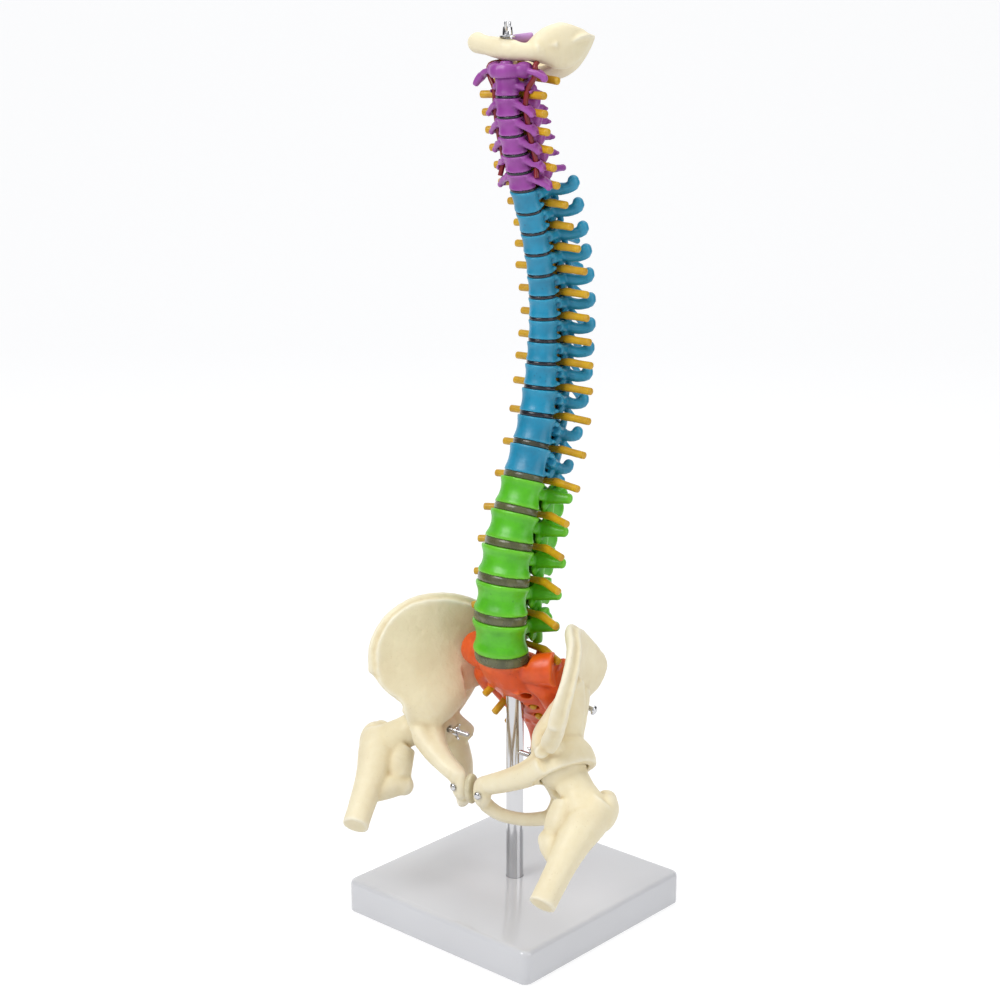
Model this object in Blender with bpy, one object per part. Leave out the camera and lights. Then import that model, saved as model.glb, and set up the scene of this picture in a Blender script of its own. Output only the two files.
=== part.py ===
"""Half-size teaching model of the human spine with pelvis and femur stubs, on a square stand.

The frame stands on the floor: Z is up, the model faces -Y, its own left side is +X and the
origin is the middle of the base's underside. Sizes are written in millimetres and each mesh
is written in metres.
"""

import math

import bmesh
import bpy
from mathutils import Matrix, Vector

MM = 0.001
GAP = 0.3

# Stand
BASE_SIDE = 124.0
BASE_HEIGHT = 17.3
BASE_CORNER = 4.5
BASE_EDGE = 2.5
TUBE_RADIUS = 4.5
TUBE_WALL = 0.8
TUBE_SEAT = 8.0
TUBE_TOP = 118.0
TUBE_PLUG = 7.0
TUBE_STUD = 2.0
SCREW_SHANK = 1.6
STUD_FOOT = 3.0

# Column: the line through the middle of the bodies, as (forward-back Y, height Z)
SPINE_LINE = [
    (-6.0, 450.0), (-6.4, 417.3), (-3.2, 400.0), (5.2, 374.0), (13.3, 352.7), (19.6, 325.0),
    (20.6, 300.0), (16.2, 261.0), (6.4, 231.0), (-4.6, 198.7), (-10.2, 168.0), (-9.8, 142.2),
    (-5.0, 128.0),
]
TOP_DISC_HEIGHT = 417.3
CORE_RADIUS = 1.9
CORE_SIDES = 5
STUD_RADIUS = 1.4
STUD_SPAN = (425.0, 449.6)
STUD_PLACE = -6.2
WASHER_HEIGHT = 444.4

# What the vertebrae measure, between the levels that are named
LEVELS = (
    [f"C{n}" for n in range(1, 8)] + [f"T{n}" for n in range(1, 13)] + [f"L{n}" for n in range(1, 6)]
)
PITCH = {"C1": 9.0, "C7": 9.0, "T1": 11.6, "T2": 10.9, "T8": 11.2, "T9": 12.3, "T12": 16.6,
         "L3": 17.8, "L5": 20.4}
DISC_HEIGHT = {"C1": 1.5, "C7": 1.5, "T4": 1.4, "T9": 2.0, "T12": 3.3, "L3": 4.6, "L5": 5.4}
BODY_WIDTH = {"C1": 12.0, "C3": 13.4, "C7": 15.4, "T1": 15.4, "T4": 14.4, "T7": 15.6, "T9": 17.6,
              "T12": 23.0, "L1": 25.4, "L3": 30.0, "L5": 32.0}
BODY_DEPTH = {"C1": 9.6, "C7": 10.6, "T1": 11.0, "T4": 13.0, "T7": 14.6, "T12": 18.0, "L1": 19.6,
              "L3": 23.0, "L5": 24.4}
CANAL_RADIUS = {"C1": 4.1, "C7": 4.2, "T2": 3.7, "T9": 3.6, "T12": 4.2, "L5": 4.6}
TRANSVERSE_REACH = {"C1": 13.4, "C6": 13.6, "C7": 15.4, "T1": 17.6, "T4": 16.4, "T9": 14.6,
                    "T11": 11.4, "T12": 9.6, "L1": 17.0, "L3": 20.0, "L5": 19.0}
SPINOUS_REACH = {"C1": 9.0, "C2": 10.0, "C6": 12.0, "C7": 16.0, "T1": 15.5, "T8": 15.0,
                 "T12": 12.0, "L1": 15.0, "L5": 13.0}
SPINOUS_DROP = {"C1": 3.0, "C6": 4.0, "C7": 5.0, "T2": 9.0, "T6": 14.0, "T8": 14.0, "T11": 7.0,
                "L1": 3.5, "L5": 4.0}

# Nerves and arteries
CORD_RADIUS = 1.9
NERVE_RADIUS = 1.55
NERVE_REACH = {"C1": 21.5, "C7": 22.5, "T4": 23.5, "T9": 25.0, "T12": 28.5, "L5": 30.0}
NERVE_DROP = 2.6
ARTERY_RADIUS = 1.2
ARTERY_OUT = 2.9
BRAINSTEM_RADIUS = 3.1

# Pelvis and femurs, left side
HIP_CENTRE = (45.0, -16.5, 95.8)
HEAD_RADIUS = 12.6
SOCKET_PLAY = 1.0
SOCKET_AXIS = (0.68, -0.42, -0.60)
SOCKET_LIP = 3.5
SYMPHYSIS_HALF = 2.2
SACRUM_SIDE = (27.5, 6.0)
SACRUM_SIDE_TURN = 12.0
BOLT_RADIUS = 1.3
BOLT_SPAN = (-2.0, -27.0)
NUT_PLACE = -17.8
NUT_SEAT = 5.6
FEMUR_LENGTH = 66.0
SIDE_SCREW = ((43.0, 12.9, 115.6), (16.0, 9.0, 121.0))
SIDE_SCREW_RADIUS = 1.3
PUBIC_SCREW_RADIUS = 1.0
FEMUR_TURN = {"right": (-53.0, -1.0, 24.0), "left": (-48.0, 19.0, 24.0)}

# Triangles that each kind of piece is brought down to
DETAIL = {"C": 225, "T": 174, "L": 210, "atlas": 250, "axis": 250, "sacrum": 310, "hip": 430,
          "femur": 200, "occiput": 290}
VOXEL = 0.6

COLOURS = {
    "violet": ((0.352, 0.069, 0.376), 0.42, 0.0),
    "blue": ((0.013, 0.305, 0.515), 0.42, 0.0),
    "green": ((0.102, 0.578, 0.021), 0.40, 0.0),
    "orange": ((0.831, 0.102, 0.003), 0.42, 0.0),
    "bone": ((0.871, 0.776, 0.514), 0.48, 0.0),
    "disc": ((0.165, 0.180, 0.080), 0.25, 0.0),
    "nerve": ((0.578, 0.352, 0.014), 0.38, 0.0),
    "artery": ((0.235, 0.008, 0.012), 0.35, 0.0),
    "stem": ((0.462, 0.212, 0.479), 0.40, 0.0),
    "pad": ((0.520, 0.500, 0.330), 0.30, 0.0),
    "chrome": ((0.620, 0.620, 0.630), 0.14, 1.0),
    "white": ((0.800, 0.800, 0.810), 0.16, 0.0),
}


# Curves and frames

def smooth(keys, at):
    """Height along the smooth line through (at, value) keys, which rise in at."""
    count = len(keys)
    span = max(i for i in range(count - 1) if i == 0 or keys[i][0] <= at)
    slopes = []
    for i in (span, span + 1):
        low, high = keys[max(i - 1, 0)], keys[min(i + 1, count - 1)]
        slopes.append((high[1] - low[1]) / (high[0] - low[0]))
    (a, left), (b, right) = keys[span], keys[span + 1]
    t = (at - a) / (b - a)
    size = b - a
    return (
        left * (2 * t**3 - 3 * t**2 + 1) + slopes[0] * size * (t**3 - 2 * t**2 + t)
        + right * (3 * t**2 - 2 * t**3) + slopes[1] * size * (t**3 - t**2)
    )


def spine_y(height):
    """Forward-back place of the column's middle line at a height."""
    return smooth([(z, y) for y, z in reversed(SPINE_LINE)], height)


def spine_frame(height):
    """Frame on the column's line: X to the model's left, Y to the back and Z along the line."""
    rise = Vector((0, spine_y(height + 0.5) - spine_y(height - 0.5), 1)).normalized()
    side = Vector((1, 0, 0))
    back = rise.cross(side)
    frame = Matrix((side, back, rise)).transposed().to_4x4()
    frame.translation = (0, spine_y(height), height)
    return frame


def at_level(table, level):
    """Value of a table at a level, straight between the levels it names."""
    place = LEVELS.index(level)
    keys = [(LEVELS.index(name), value) for name, value in table.items()]
    for (a, low), (b, high) in zip(keys, keys[1:]):
        if a <= place <= b:
            return low + (high - low) * (place - a) / (b - a)
    return keys[-1][1]


def step_along(height, distance):
    """Height reached from a height by going down the column's line for a distance."""
    steps = 20
    for _ in range(steps):
        lean = spine_y(height + 0.5) - spine_y(height - 0.5)
        height -= distance / steps / math.hypot(1, lean)
    return height


def lay_out_column():
    """Frames of the discs under C2 to L5, and of the vertebrae C3 to L5 between them."""
    discs, bodies = {}, {}
    height = TOP_DISC_HEIGHT
    discs["C2"] = spine_frame(height)
    for level in LEVELS[2:]:
        pitch = at_level(PITCH, level)
        bodies[level] = spine_frame(step_along(height, pitch / 2))
        height = step_along(height, pitch)
        discs[level] = spine_frame(height)
    bodies["C2"] = spine_frame(step_along(TOP_DISC_HEIGHT, -at_level(PITCH, "C2") / 2))
    bodies["C1"] = Matrix.Translation((0, spine_y(429.2), 429.2))
    return discs, bodies


# Mesh building, in millimetres

def add_ring(bm, frame, across, deep, sides):
    """Ring of vertices round a frame's Z axis, in turning order."""
    size = Matrix.Diagonal((across, deep, 1, 1))
    return bmesh.ops.create_circle(bm, segments=sides, radius=1.0, matrix=frame @ size)["verts"]


def arc(ring, place, count):
    """Vertices of a ring that bound one of count equal stretches of it."""
    step = len(ring) // count
    return [ring[(place * step + i) % len(ring)] for i in range(step + 1)]


def skin_rings(bm, rings):
    """Closed tube over rings whose counts are equal or in whole ratios, with both ends capped."""
    for lower, upper in zip(rings, rings[1:]):
        count = min(len(lower), len(upper))
        for place in range(count):
            bm.faces.new(arc(lower, place, count) + arc(upper, place, count)[::-1])
    bm.faces.new(rings[0][::-1])
    bm.faces.new(rings[-1])


def path_frames(points, level_side=(1, 0, 0)):
    """Frames along points: Z along the path and X as near level_side as it can be."""
    frames = []
    last = len(points) - 1
    for i, point in enumerate(points):
        along = (Vector(points[min(i + 1, last)]) - Vector(points[max(i - 1, 0)])).normalized()
        side = Vector(level_side) - along * along.dot(Vector(level_side))
        side = side.normalized() if side.length > 0.05 else along.orthogonal().normalized()
        frame = Matrix((side, along.cross(side), along)).transposed().to_4x4()
        frame.translation = point
        frames.append(frame)
    return frames


def add_limb(bm, points, sizes, sides=10, level_side=(1, 0, 0)):
    """Tapered limb along points; each size is one radius, or (across, deep)."""
    rings = []
    for frame, size in zip(path_frames(points, level_side), sizes):
        across, deep = size if isinstance(size, tuple) else (size, size)
        rings.append(add_ring(bm, frame, across, deep, sides))
    skin_rings(bm, rings)


def add_ball(bm, centre, radii, turn=None, detail=2):
    """Ellipsoid with its three radii, turned by a rotation matrix if given."""
    radii = radii if isinstance(radii, tuple) else (radii,) * 3
    frame = Matrix.Translation(centre)
    if turn is not None:
        frame = frame @ turn.to_4x4()
    size = Matrix.Diagonal((*radii, 1))
    bmesh.ops.create_icosphere(bm, subdivisions=detail, radius=1.0, matrix=frame @ size)


def mirrored(points, side):
    """Points of the left side, or the same points of the right side."""
    return [(side * x, y, z) for x, y, z in points]


def add_sheet(bm, rows, thickness):
    """Curved plate over rows of points, with its thickness laid to both sides."""
    grid = [[bm.verts.new(point) for point in row] for row in rows]
    faces = []
    for lower, upper in zip(grid, grid[1:]):
        for i in range(len(lower) - 1):
            faces.append(bm.faces.new((lower[i], lower[i + 1], upper[i + 1], upper[i])))
    edges = {edge for face in faces for edge in face.edges}
    made = bmesh.ops.subdivide_edges(bm, edges=list(edges), cuts=2, use_grid_fill=True, smooth=1.0)
    sheet = {item for item in made["geom"] if isinstance(item, bmesh.types.BMFace)} | set(faces)
    sheet = [face for face in sheet if face.is_valid]
    verts = {vert for face in sheet for vert in face.verts}
    bmesh.ops.recalc_face_normals(bm, faces=sheet)
    bm.normal_update()
    moves = {vert: vert.normal * (-thickness / 2) for vert in verts}
    for vert, move in moves.items():
        vert.co += move
    bmesh.ops.solidify(bm, geom=sheet + list({e for f in sheet for e in f.edges}) + list(verts),
                       thickness=thickness)


# Objects

def make_material(name):
    """Principled material of one of the model's colours."""
    colour, roughness, metallic = COLOURS[name]
    material = bpy.data.materials.new(name)
    material.use_nodes = True
    shader = material.node_tree.nodes["Principled BSDF"]
    shader.inputs["Base Color"].default_value = (*colour, 1.0)
    shader.inputs["Roughness"].default_value = roughness
    shader.inputs["Metallic"].default_value = metallic
    material.diffuse_color = (*colour, 1.0)
    return material


def make_object(name, bm, colour=None, frame=None, parent=None, round_angle=40.0):
    """Object from a mesh in millimetres, shaded smooth up to an angle."""
    bmesh.ops.recalc_face_normals(bm, faces=bm.faces)
    bmesh.ops.scale(bm, vec=(MM, MM, MM), verts=bm.verts)
    mesh = bpy.data.meshes.new(name)
    bm.to_mesh(mesh)
    bm.free()
    mesh.shade_smooth()
    mesh.set_sharp_from_angle(angle=math.radians(round_angle))
    obj = bpy.data.objects.new(name, mesh)
    bpy.context.collection.objects.link(obj)
    if colour is not None:
        mesh.materials.append(MATERIALS[colour])
    if frame is not None:
        obj.matrix_world = in_metres(frame)
    if parent is not None:
        obj.parent = parent
        obj.matrix_parent_inverse = parent.matrix_world.inverted()
    return obj


def in_metres(frame):
    """Frame whose place is written in millimetres, with the place in metres."""
    moved = frame.copy()
    moved.translation = frame.translation * MM
    return moved


def bake(obj):
    """Writes what an object's modifiers make into its mesh."""
    graph = bpy.context.evaluated_depsgraph_get()
    graph.update()
    mesh = bpy.data.meshes.new_from_object(obj.evaluated_get(graph))
    obj.modifiers.clear()
    old, obj.data = obj.data, mesh
    bpy.data.meshes.remove(old)


def make_bone(name, bm, colour, triangles, cutters=(), bores=(), frame=None, parent=None):
    """Moulded bone: its limbs grown into one smooth skin, cut, thinned, and bored last."""
    obj = make_object(name, bm, colour, frame, parent)
    skin = obj.modifiers.new("one_skin", "REMESH")
    skin.mode = "VOXEL"
    skin.voxel_size = VOXEL * MM
    relax = obj.modifiers.new("relax", "SMOOTH")
    relax.factor = 0.5
    relax.iterations = 4
    bake(obj)
    if cutters:
        cut(obj, *cutters)
        make_sound(obj)
    thin = obj.modifiers.new("thin", "DECIMATE")
    thin.ratio = triangles / sum(len(face.vertices) - 2 for face in obj.data.polygons)
    thin.use_collapse_triangulate = True
    bake(obj)
    make_sound(obj)
    if bores:
        cut(obj, *bores, solver="MANIFOLD")
        make_sound(obj)
    shade(obj)
    return obj


def make_sound(obj):
    """Closes pinholes and drops the crumbs that a cut leaves loose beside the piece."""
    bm = bmesh.new()
    bm.from_mesh(obj.data)
    bmesh.ops.holes_fill(bm, edges=bm.edges, sides=8)
    bmesh.ops.triangulate(bm, faces=bm.faces)
    left = set(bm.verts)
    groups = []
    while left:
        group, front = set(), [left.pop()]
        while front:
            vert = front.pop()
            group.add(vert)
            near = {edge.other_vert(vert) for edge in vert.link_edges} & left
            left -= near
            front += near
        groups.append(group)
    groups.sort(key=len)
    for group in groups[:-1]:
        bmesh.ops.delete(bm, geom=list(group), context="VERTS")
    bmesh.ops.recalc_face_normals(bm, faces=bm.faces)
    bm.to_mesh(obj.data)
    bm.free()


def make_cutter(name, bm, frame=None):
    """Tool body that is cut out of other pieces and is not part of the model."""
    obj = make_object(name, bm, frame=frame)
    obj.hide_render = True
    obj.display_type = "WIRE"
    return obj


def cut(obj, *cutters, solver="EXACT"):
    """Takes tool bodies out of a piece, one after another."""
    for cutter in cutters:
        step = obj.modifiers.new(cutter.name, "BOOLEAN")
        step.operation = "DIFFERENCE"
        step.solver = solver
        step.object = cutter
    bake(obj)
    shade(obj)


def shade(obj, round_angle=40.0):
    """Smooth shading with edges kept where faces meet at more than an angle."""
    obj.data.shade_smooth()
    obj.data.set_sharp_from_angle(angle=math.radians(round_angle))


# Vertebrae

def body_ring(bm, frame, width, depth, sides, grow=0.0):
    """Outline of a vertebral body or disc: an oval with a flatter back."""
    ring = add_ring(bm, frame, width / 2 + grow, depth / 2 + grow, sides)
    back = frame.to_3x3() @ Vector((0, 1, 0))
    for vert in ring:
        reach = (vert.co - frame.translation).dot(back)
        if reach > 0:
            vert.co -= back * reach * 0.16
    return ring


def add_body(bm, width, depth, height, sides=20):
    """Waisted drum of a vertebral body, taller than its space so the discs trim it flat."""
    rings = []
    for place, size in ((-0.62, 0.98), (-0.5, 1.0), (-0.36, 0.97), (0, 0.86), (0.36, 0.97),
                        (0.5, 1.0), (0.62, 0.98)):
        frame = Matrix.Translation((0, 0, place * height))
        rings.append(body_ring(bm, frame, width * size, depth * size, sides))
    skin_rings(bm, rings)


def add_arch(bm, level, width, depth, height):
    """Pedicles, laminae and spinous process round the spinal canal."""
    canal = at_level(CANAL_RADIUS, level)
    region = level[0]
    rise = {"C": 0.0, "T": 0.14, "L": 0.12}[region] * height
    half = height * {"C": 0.36, "T": 0.36, "L": 0.30}[region]
    middle = depth / 2 + canal
    rear = depth / 2 + 2 * canal + 1.0
    reach = at_level(SPINOUS_REACH, level)
    drop = at_level(SPINOUS_DROP, level)
    for side in (-1, 1):
        outer = side * (canal + 1.3)
        add_limb(bm, [(outer * 0.92, depth / 2 - 3, rise), (outer, middle, rise)],
                 [(1.5, half * 0.8), (1.5, half * 0.8)])
        add_limb(bm, [(outer, middle - 0.6, rise), (outer * 0.86, middle + canal * 0.62, rise - 0.8),
                      (0, rear + 0.3, rise - 1.6)],
                 [(1.3, half * 0.95), (1.3, half * 1.1), (1.3, half * 0.9)])
    end = (0, rear + reach, rise - 1.4 - drop)
    blade = {"C": (1.2, 2.0), "T": (1.1, 2.0), "L": (1.3, 4.6)}[region]
    add_limb(bm, [(0, rear + 0.6, rise - 1.8), (0, rear + reach * 0.5, rise - 1.4 - drop * 0.5), end],
             [(1.5, half * 0.62), blade, (blade[0] * 1.25, blade[1] * 0.85)])
    add_ball(bm, end, (blade[0] * 1.5, 1.7, blade[1] * 0.95))
    if region == "C" and level != "C7":
        for side in (-1, 1):
            add_ball(bm, (side * 1.9, end[1] + 0.4, end[2] - 0.4), (1.2, 1.4, 1.1))


def add_cervical_sides(bm, level, width, depth, height):
    """Transverse processes, lipped body edges and articular pillars of the neck."""
    reach = at_level(TRANSVERSE_REACH, level)
    for side in (-1, 1):
        root = side * (width / 2 - 1.5)
        add_limb(bm, [(root, 0.2, 0), (side * (reach - 3.2), 0.4, -0.4), (side * reach, 1.8, -1.8)],
                 [(1.7, 1.5), (1.6, 1.4), (1.4, 1.2)], level_side=(0, 1, 0))
        add_limb(bm, [(root, depth / 2 - 1.4, 0), (side * (reach - 3.4), 3.4, -0.2),
                      (side * reach, 2.6, -2.0)],
                 [(1.5, 1.4), (1.6, 1.3), (1.4, 1.3)], level_side=(0, 1, 0))
        add_ball(bm, (side * (width / 2 + ARTERY_OUT), 1.7, -0.3), (2.9, 2.7, 1.3))
        add_ball(bm, (side * (width / 2 - 0.9), 0, height * 0.45), (1.0, depth * 0.36, 1.2))
        tilt = Matrix.Rotation(math.radians(-38), 3, "X")
        add_ball(bm, (side * 7.7, depth / 2 + 4.9, 0.2), (2.7, 2.5, height * 0.51), tilt)


def add_thoracic_sides(bm, level, width, depth, height, disc):
    """Transverse processes with knobs, and flat facets above and below, of the chest."""
    reach = at_level(TRANSVERSE_REACH, level)
    canal = at_level(CANAL_RADIUS, level)
    middle = depth / 2 + canal
    knob = (reach, depth / 2 + canal * 2 + 3.0)
    for side in (-1, 1):
        root = (side * (canal + 1.6), middle + 1.4, height * 0.08)
        elbow = (side * (reach * 0.55 + 2.4), middle + 3.4, -0.2)
        add_limb(bm, [root, elbow, (side * knob[0], knob[1], 0.9), (side * knob[0], knob[1] + 0.3, 3.4)],
                 [(1.9, 2.3), (1.8, 2.1), (2.1, 2.2), (2.1, 2.1)], level_side=(0, 1, 0))
        add_ball(bm, (side * knob[0], knob[1] + 0.3, 3.2), (2.3, 2.4, 2.4))
        facet = side * (canal + 1.4)
        add_ball(bm, (facet, middle + 2.2, height / 2 - 0.6), (2.1, 1.05, 2.4))
        add_limb(bm, [(facet, middle + 1.2, height * 0.2), (facet, middle + 2.4, height * 0.45)],
                 [(1.8, 1.3), (1.8, 1.1)])
        add_ball(bm, (facet, middle + 5.3, -height / 2 - disc * 0.3), (2.1, 1.05, 3.0))
        add_limb(bm, [(facet, middle + 3.0, 0), (facet, middle + 5.0, -height * 0.42)],
                 [(1.9, 1.3), (1.9, 1.1)])


def add_lumbar_sides(bm, level, width, depth, height, disc):
    """Long thin transverse processes and hooked facets of the loin."""
    reach = at_level(TRANSVERSE_REACH, level)
    canal = at_level(CANAL_RADIUS, level)
    middle = depth / 2 + canal
    for side in (-1, 1):
        tip = (side * reach, middle + 3.4, height * 0.14 + 0.8)
        add_limb(bm, [(side * (canal + 1.4), middle, height * 0.14),
                      (side * (reach * 0.62 + 1.5), middle + 2.0, height * 0.16), tip],
                 [(2.3, 3.1), (1.5, 2.1), (1.4, 2.0)], level_side=(0, 1, 0))
        add_ball(bm, tip, (1.7, 1.5, 2.2))
        outer = side * (canal + 5.1)
        add_limb(bm, [(side * (canal + 2.4), middle + 1.6, height * 0.1),
                      (outer, middle + 4.6, height * 0.36),
                      (outer, middle + 5.4, height / 2 + disc * 0.55)],
                 [(2.4, 2.4), (1.9, 2.5), (1.5, 2.2)])
        inner = side * (canal - 0.1)
        add_limb(bm, [(side * canal, middle + canal + 0.2, -height * 0.05),
                      (inner, middle + 5.6, -height * 0.36),
                      (inner, middle + 5.9, -height / 2 - disc * 0.4)],
                 [(2.2, 2.2), (2.2, 2.3), (1.7, 2.0)])


def make_vertebra(level, frame, cutters, bores):
    """One moulded vertebra from C3 to L5."""
    region = level[0]
    disc = at_level(DISC_HEIGHT, level)
    height = at_level(PITCH, level) - disc
    width = at_level(BODY_WIDTH, level)
    depth = at_level(BODY_DEPTH, level)
    bm = bmesh.new()
    add_body(bm, width, depth, height)
    add_arch(bm, level, width, depth, height)
    if region == "C":
        add_cervical_sides(bm, level, width, depth, height)
    elif region == "T":
        add_thoracic_sides(bm, level, width, depth, height, disc)
    else:
        add_lumbar_sides(bm, level, width, depth, height, disc)
    colour = {"C": "violet", "T": "blue", "L": "green"}[region]
    return make_bone(f"vertebra_{level}", bm, colour, DETAIL[region], cutters, bores, frame)


def make_axis(frame, cutters, bores):
    """C2, with the peg that stands up inside the atlas."""
    bm = bmesh.new()
    width, depth = at_level(BODY_WIDTH, "C2"), at_level(BODY_DEPTH, "C2")
    height = at_level(PITCH, "C2") - at_level(DISC_HEIGHT, "C2")
    add_body(bm, width, depth, height * 0.92)
    add_arch(bm, "C2", width, depth, height)
    add_limb(bm, [(0, 0, 1), (0, 0, 4.6), (0, 0, 8.0), (0, 0, 11.2), (0, 0, 12.0)],
             [(4.6, 4.4), (3.6, 3.6), 3.1, 3.2, 2.6], sides=16)
    for side in (-1, 1):
        add_ball(bm, (side * 6.3, 2.2, height * 0.08), (3.7, 3.8, 2.1),
                 Matrix.Rotation(math.radians(side * 18), 3, "Y"))
        add_limb(bm, [(side * 5.5, 2.4, 0), (side * 9.6, 2.8, -0.8), (side * 12.6, 3.4, -2.6)],
                 [(2.6, 2.0), (2.5, 1.4), (1.5, 1.3)], level_side=(0, 1, 0))
        add_ball(bm, (side * 7.6, depth / 2 + 4.4, -1.4), (2.6, 2.4, 2.8))
        add_limb(bm, [(side * 6.0, 4.0, 0.5), (side * 7.4, depth / 2 + 4.0, -0.8)], [(2.0, 2.0), (2.0, 2.2)])
    return make_bone("vertebra_C2", bm, "violet", DETAIL["axis"], cutters, bores, frame)


def make_atlas(frame, cutters):
    """C1, the ring that carries the skull."""
    bm = bmesh.new()
    front = [(-8.0, 0.4, 0), (-5.2, -4.4, 0), (0, -6.1, 0), (5.2, -4.4, 0), (8.0, 0.4, 0)]
    add_limb(bm, front, [(3.0, 1.9), (3.4, 1.9), (3.6, 1.9), (3.4, 1.9), (3.0, 1.9)], level_side=(0, 0, 1))
    rear = [(-9.2, 4.6, 0.6), (-8.6, 10.0, 0.6), (-4.6, 14.4, 0.4), (0, 15.8, 0.2),
            (4.6, 14.4, 0.4), (8.6, 10.0, 0.6), (9.2, 4.6, 0.6)]
    add_limb(bm, rear, [(2.1, 1.5)] * 7, level_side=(0, 0, 1))
    add_ball(bm, (0, 16.8, 0), (2.0, 1.7, 1.9))
    add_ball(bm, (0, -6.6, 0.2), (2.0, 1.7, 2.0))
    for side in (-1, 1):
        add_ball(bm, (side * 8.6, 2.4, 0.4), (4.1, 5.6, 4.0))
        add_limb(bm, [(side * 10.0, 1.6, 0), (side * 15.4, 1.4, -0.6), (side * 19.6, 3.4, -2.8)],
                 [(1.7, 1.6), (1.5, 1.5), (1.7, 1.6)], level_side=(0, 1, 0))
        add_limb(bm, [(side * 10.0, 4.8, 0), (side * 15.4, 5.8, -0.6), (side * 19.4, 4.2, -2.8)],
                 [(1.7, 1.5), (1.5, 1.4), (1.6, 1.5)], level_side=(0, 1, 0))
        add_ball(bm, (side * 14.2, 3.6, -0.4), (3.4, 3.0, 1.4))
        add_ball(bm, (side * 19.8, 3.8, -3.4), (1.7, 2.0, 2.0))
    return make_bone("vertebra_C1", bm, "violet", DETAIL["atlas"], cutters, (), frame)


# Discs on their core

def disc_rims(bm, frame, level, sides, grow, gap):
    """Upper and lower outline of one disc."""
    half = at_level(DISC_HEIGHT, level) / 2 + gap
    width, depth = at_level(BODY_WIDTH, level), at_level(BODY_DEPTH, level)
    return [body_ring(bm, frame @ Matrix.Translation((0, 0, place)), width, depth, sides, grow)
            for place in (half, -half)]


def core_ring(bm, frame, place=0.0, radius=None):
    """Ring of the core, or of a wider hole round it, at a place along a frame's Z axis."""
    radius = radius or CORE_RADIUS
    return add_ring(bm, frame @ Matrix.Translation((0, 0, place)), radius, radius, CORE_SIDES)


def make_core(discs):
    """Flexible core with the 23 discs that are moulded round it."""
    bm = bmesh.new()
    rings = [core_ring(bm, spine_frame(TOP_DISC_HEIGHT + 5.5))]
    for level, frame in discs.items():
        half = at_level(DISC_HEIGHT, level) / 2
        rims = disc_rims(bm, frame, level, 2 * CORE_SIDES, -0.2, 0.0)
        rings += [core_ring(bm, frame, half), *rims, core_ring(bm, frame, -half)]
    rings.append(core_ring(bm, spine_frame(133.0)))
    skin_rings(bm, rings)
    return make_object("disc_core", bm, "disc", round_angle=50.0)


def make_disc_space(discs):
    """Tool body: the space that each disc needs between its two vertebrae."""
    bm = bmesh.new()
    for level, frame in discs.items():
        skin_rings(bm, disc_rims(bm, frame, level, 20, 0.9, GAP))
    return make_cutter("disc_space", bm)


def make_core_bore(discs):
    """Tool body: the hole that the flexible core runs in."""
    bm = bmesh.new()
    frames = [spine_frame(TOP_DISC_HEIGHT + 6), *discs.values(), spine_frame(132.0)]
    skin_rings(bm, [core_ring(bm, frame, radius=CORE_RADIUS + 2.5 * GAP) for frame in frames])
    return make_cutter("core_bore", bm)


# Nerves and arteries

def canal_point(level, discs):
    """Middle of the spinal canal at the disc under a level."""
    depth = at_level(BODY_DEPTH, level)
    return discs[level] @ Vector((0, depth / 2 + at_level(CANAL_RADIUS, level) - 0.7, 0))


SACRAL_CANAL = [(0.0, 7.8, 137.0), (0.0, 12.0, 126.0), (0.0, 20.0, 112.0)]
SACRAL_NERVES = [
    ((0.0, 10.2, 130.5), (10.0, 1.6, 124.5), (12.0, -10.3, 117.3)),
    ((0.0, 14.2, 122.6), (8.8, 6.4, 114.6), (10.6, -4.5, 106.0)),
    ((0.0, 18.0, 115.6), (7.2, 12.2, 106.6), (8.4, 3.0, 99.0)),
]


def cord_points(discs):
    """Route of the spinal cord from the skull to the sacral canal."""
    top = [(0.0, 3.4, 434.0), (0.0, 3.4, 427.6)]
    return top + [canal_point(level, discs) for level in list(discs)[::2]] + SACRAL_CANAL[1:]


def nerve_routes(discs):
    """Routes from the middle of the cord out to the tip of each left nerve."""
    routes = [((0.0, 3.6, 426.4), (8.0, 7.6, 426.0), (20.0, 7.4, 424.4))]
    for level, frame in discs.items():
        depth, width = at_level(BODY_DEPTH, level), at_level(BODY_WIDTH, level)
        reach = at_level(NERVE_REACH, level)
        drop = NERVE_DROP + (0.8 if level in ("L1", "L2", "L3", "L4") else 0.0)
        back = {"C": 1.2, "T": 2.4, "L": 1.2}[level[0]]
        gate = (max(width / 2, 6.4) + 0.6, depth / 2 + back, 0.65)
        tip = (reach, depth / 2 + back - {"C": 2.4, "T": 1.0, "L": 3.4}[level[0]], -drop)
        routes.append((canal_point(level, discs), frame @ Vector(gate), frame @ Vector(tip)))
    return routes + SACRAL_NERVES


def add_nerves(bm, routes, radius, sides, extra):
    """Every nerve as one limb from its left tip through the cord to its right tip."""
    for start, gate, tip in routes:
        half = [Vector(tip) + (Vector(tip) - Vector(gate)).normalized() * extra, Vector(gate)]
        other = [Vector((-point.x, point.y, point.z)) for point in reversed(half)]
        points = half + [Vector(start)] + other
        thick = radius + GAP * 0.3
        add_limb(bm, points, [thick, radius, radius * 0.9, radius, thick], sides, (0, 0, 1))


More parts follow.
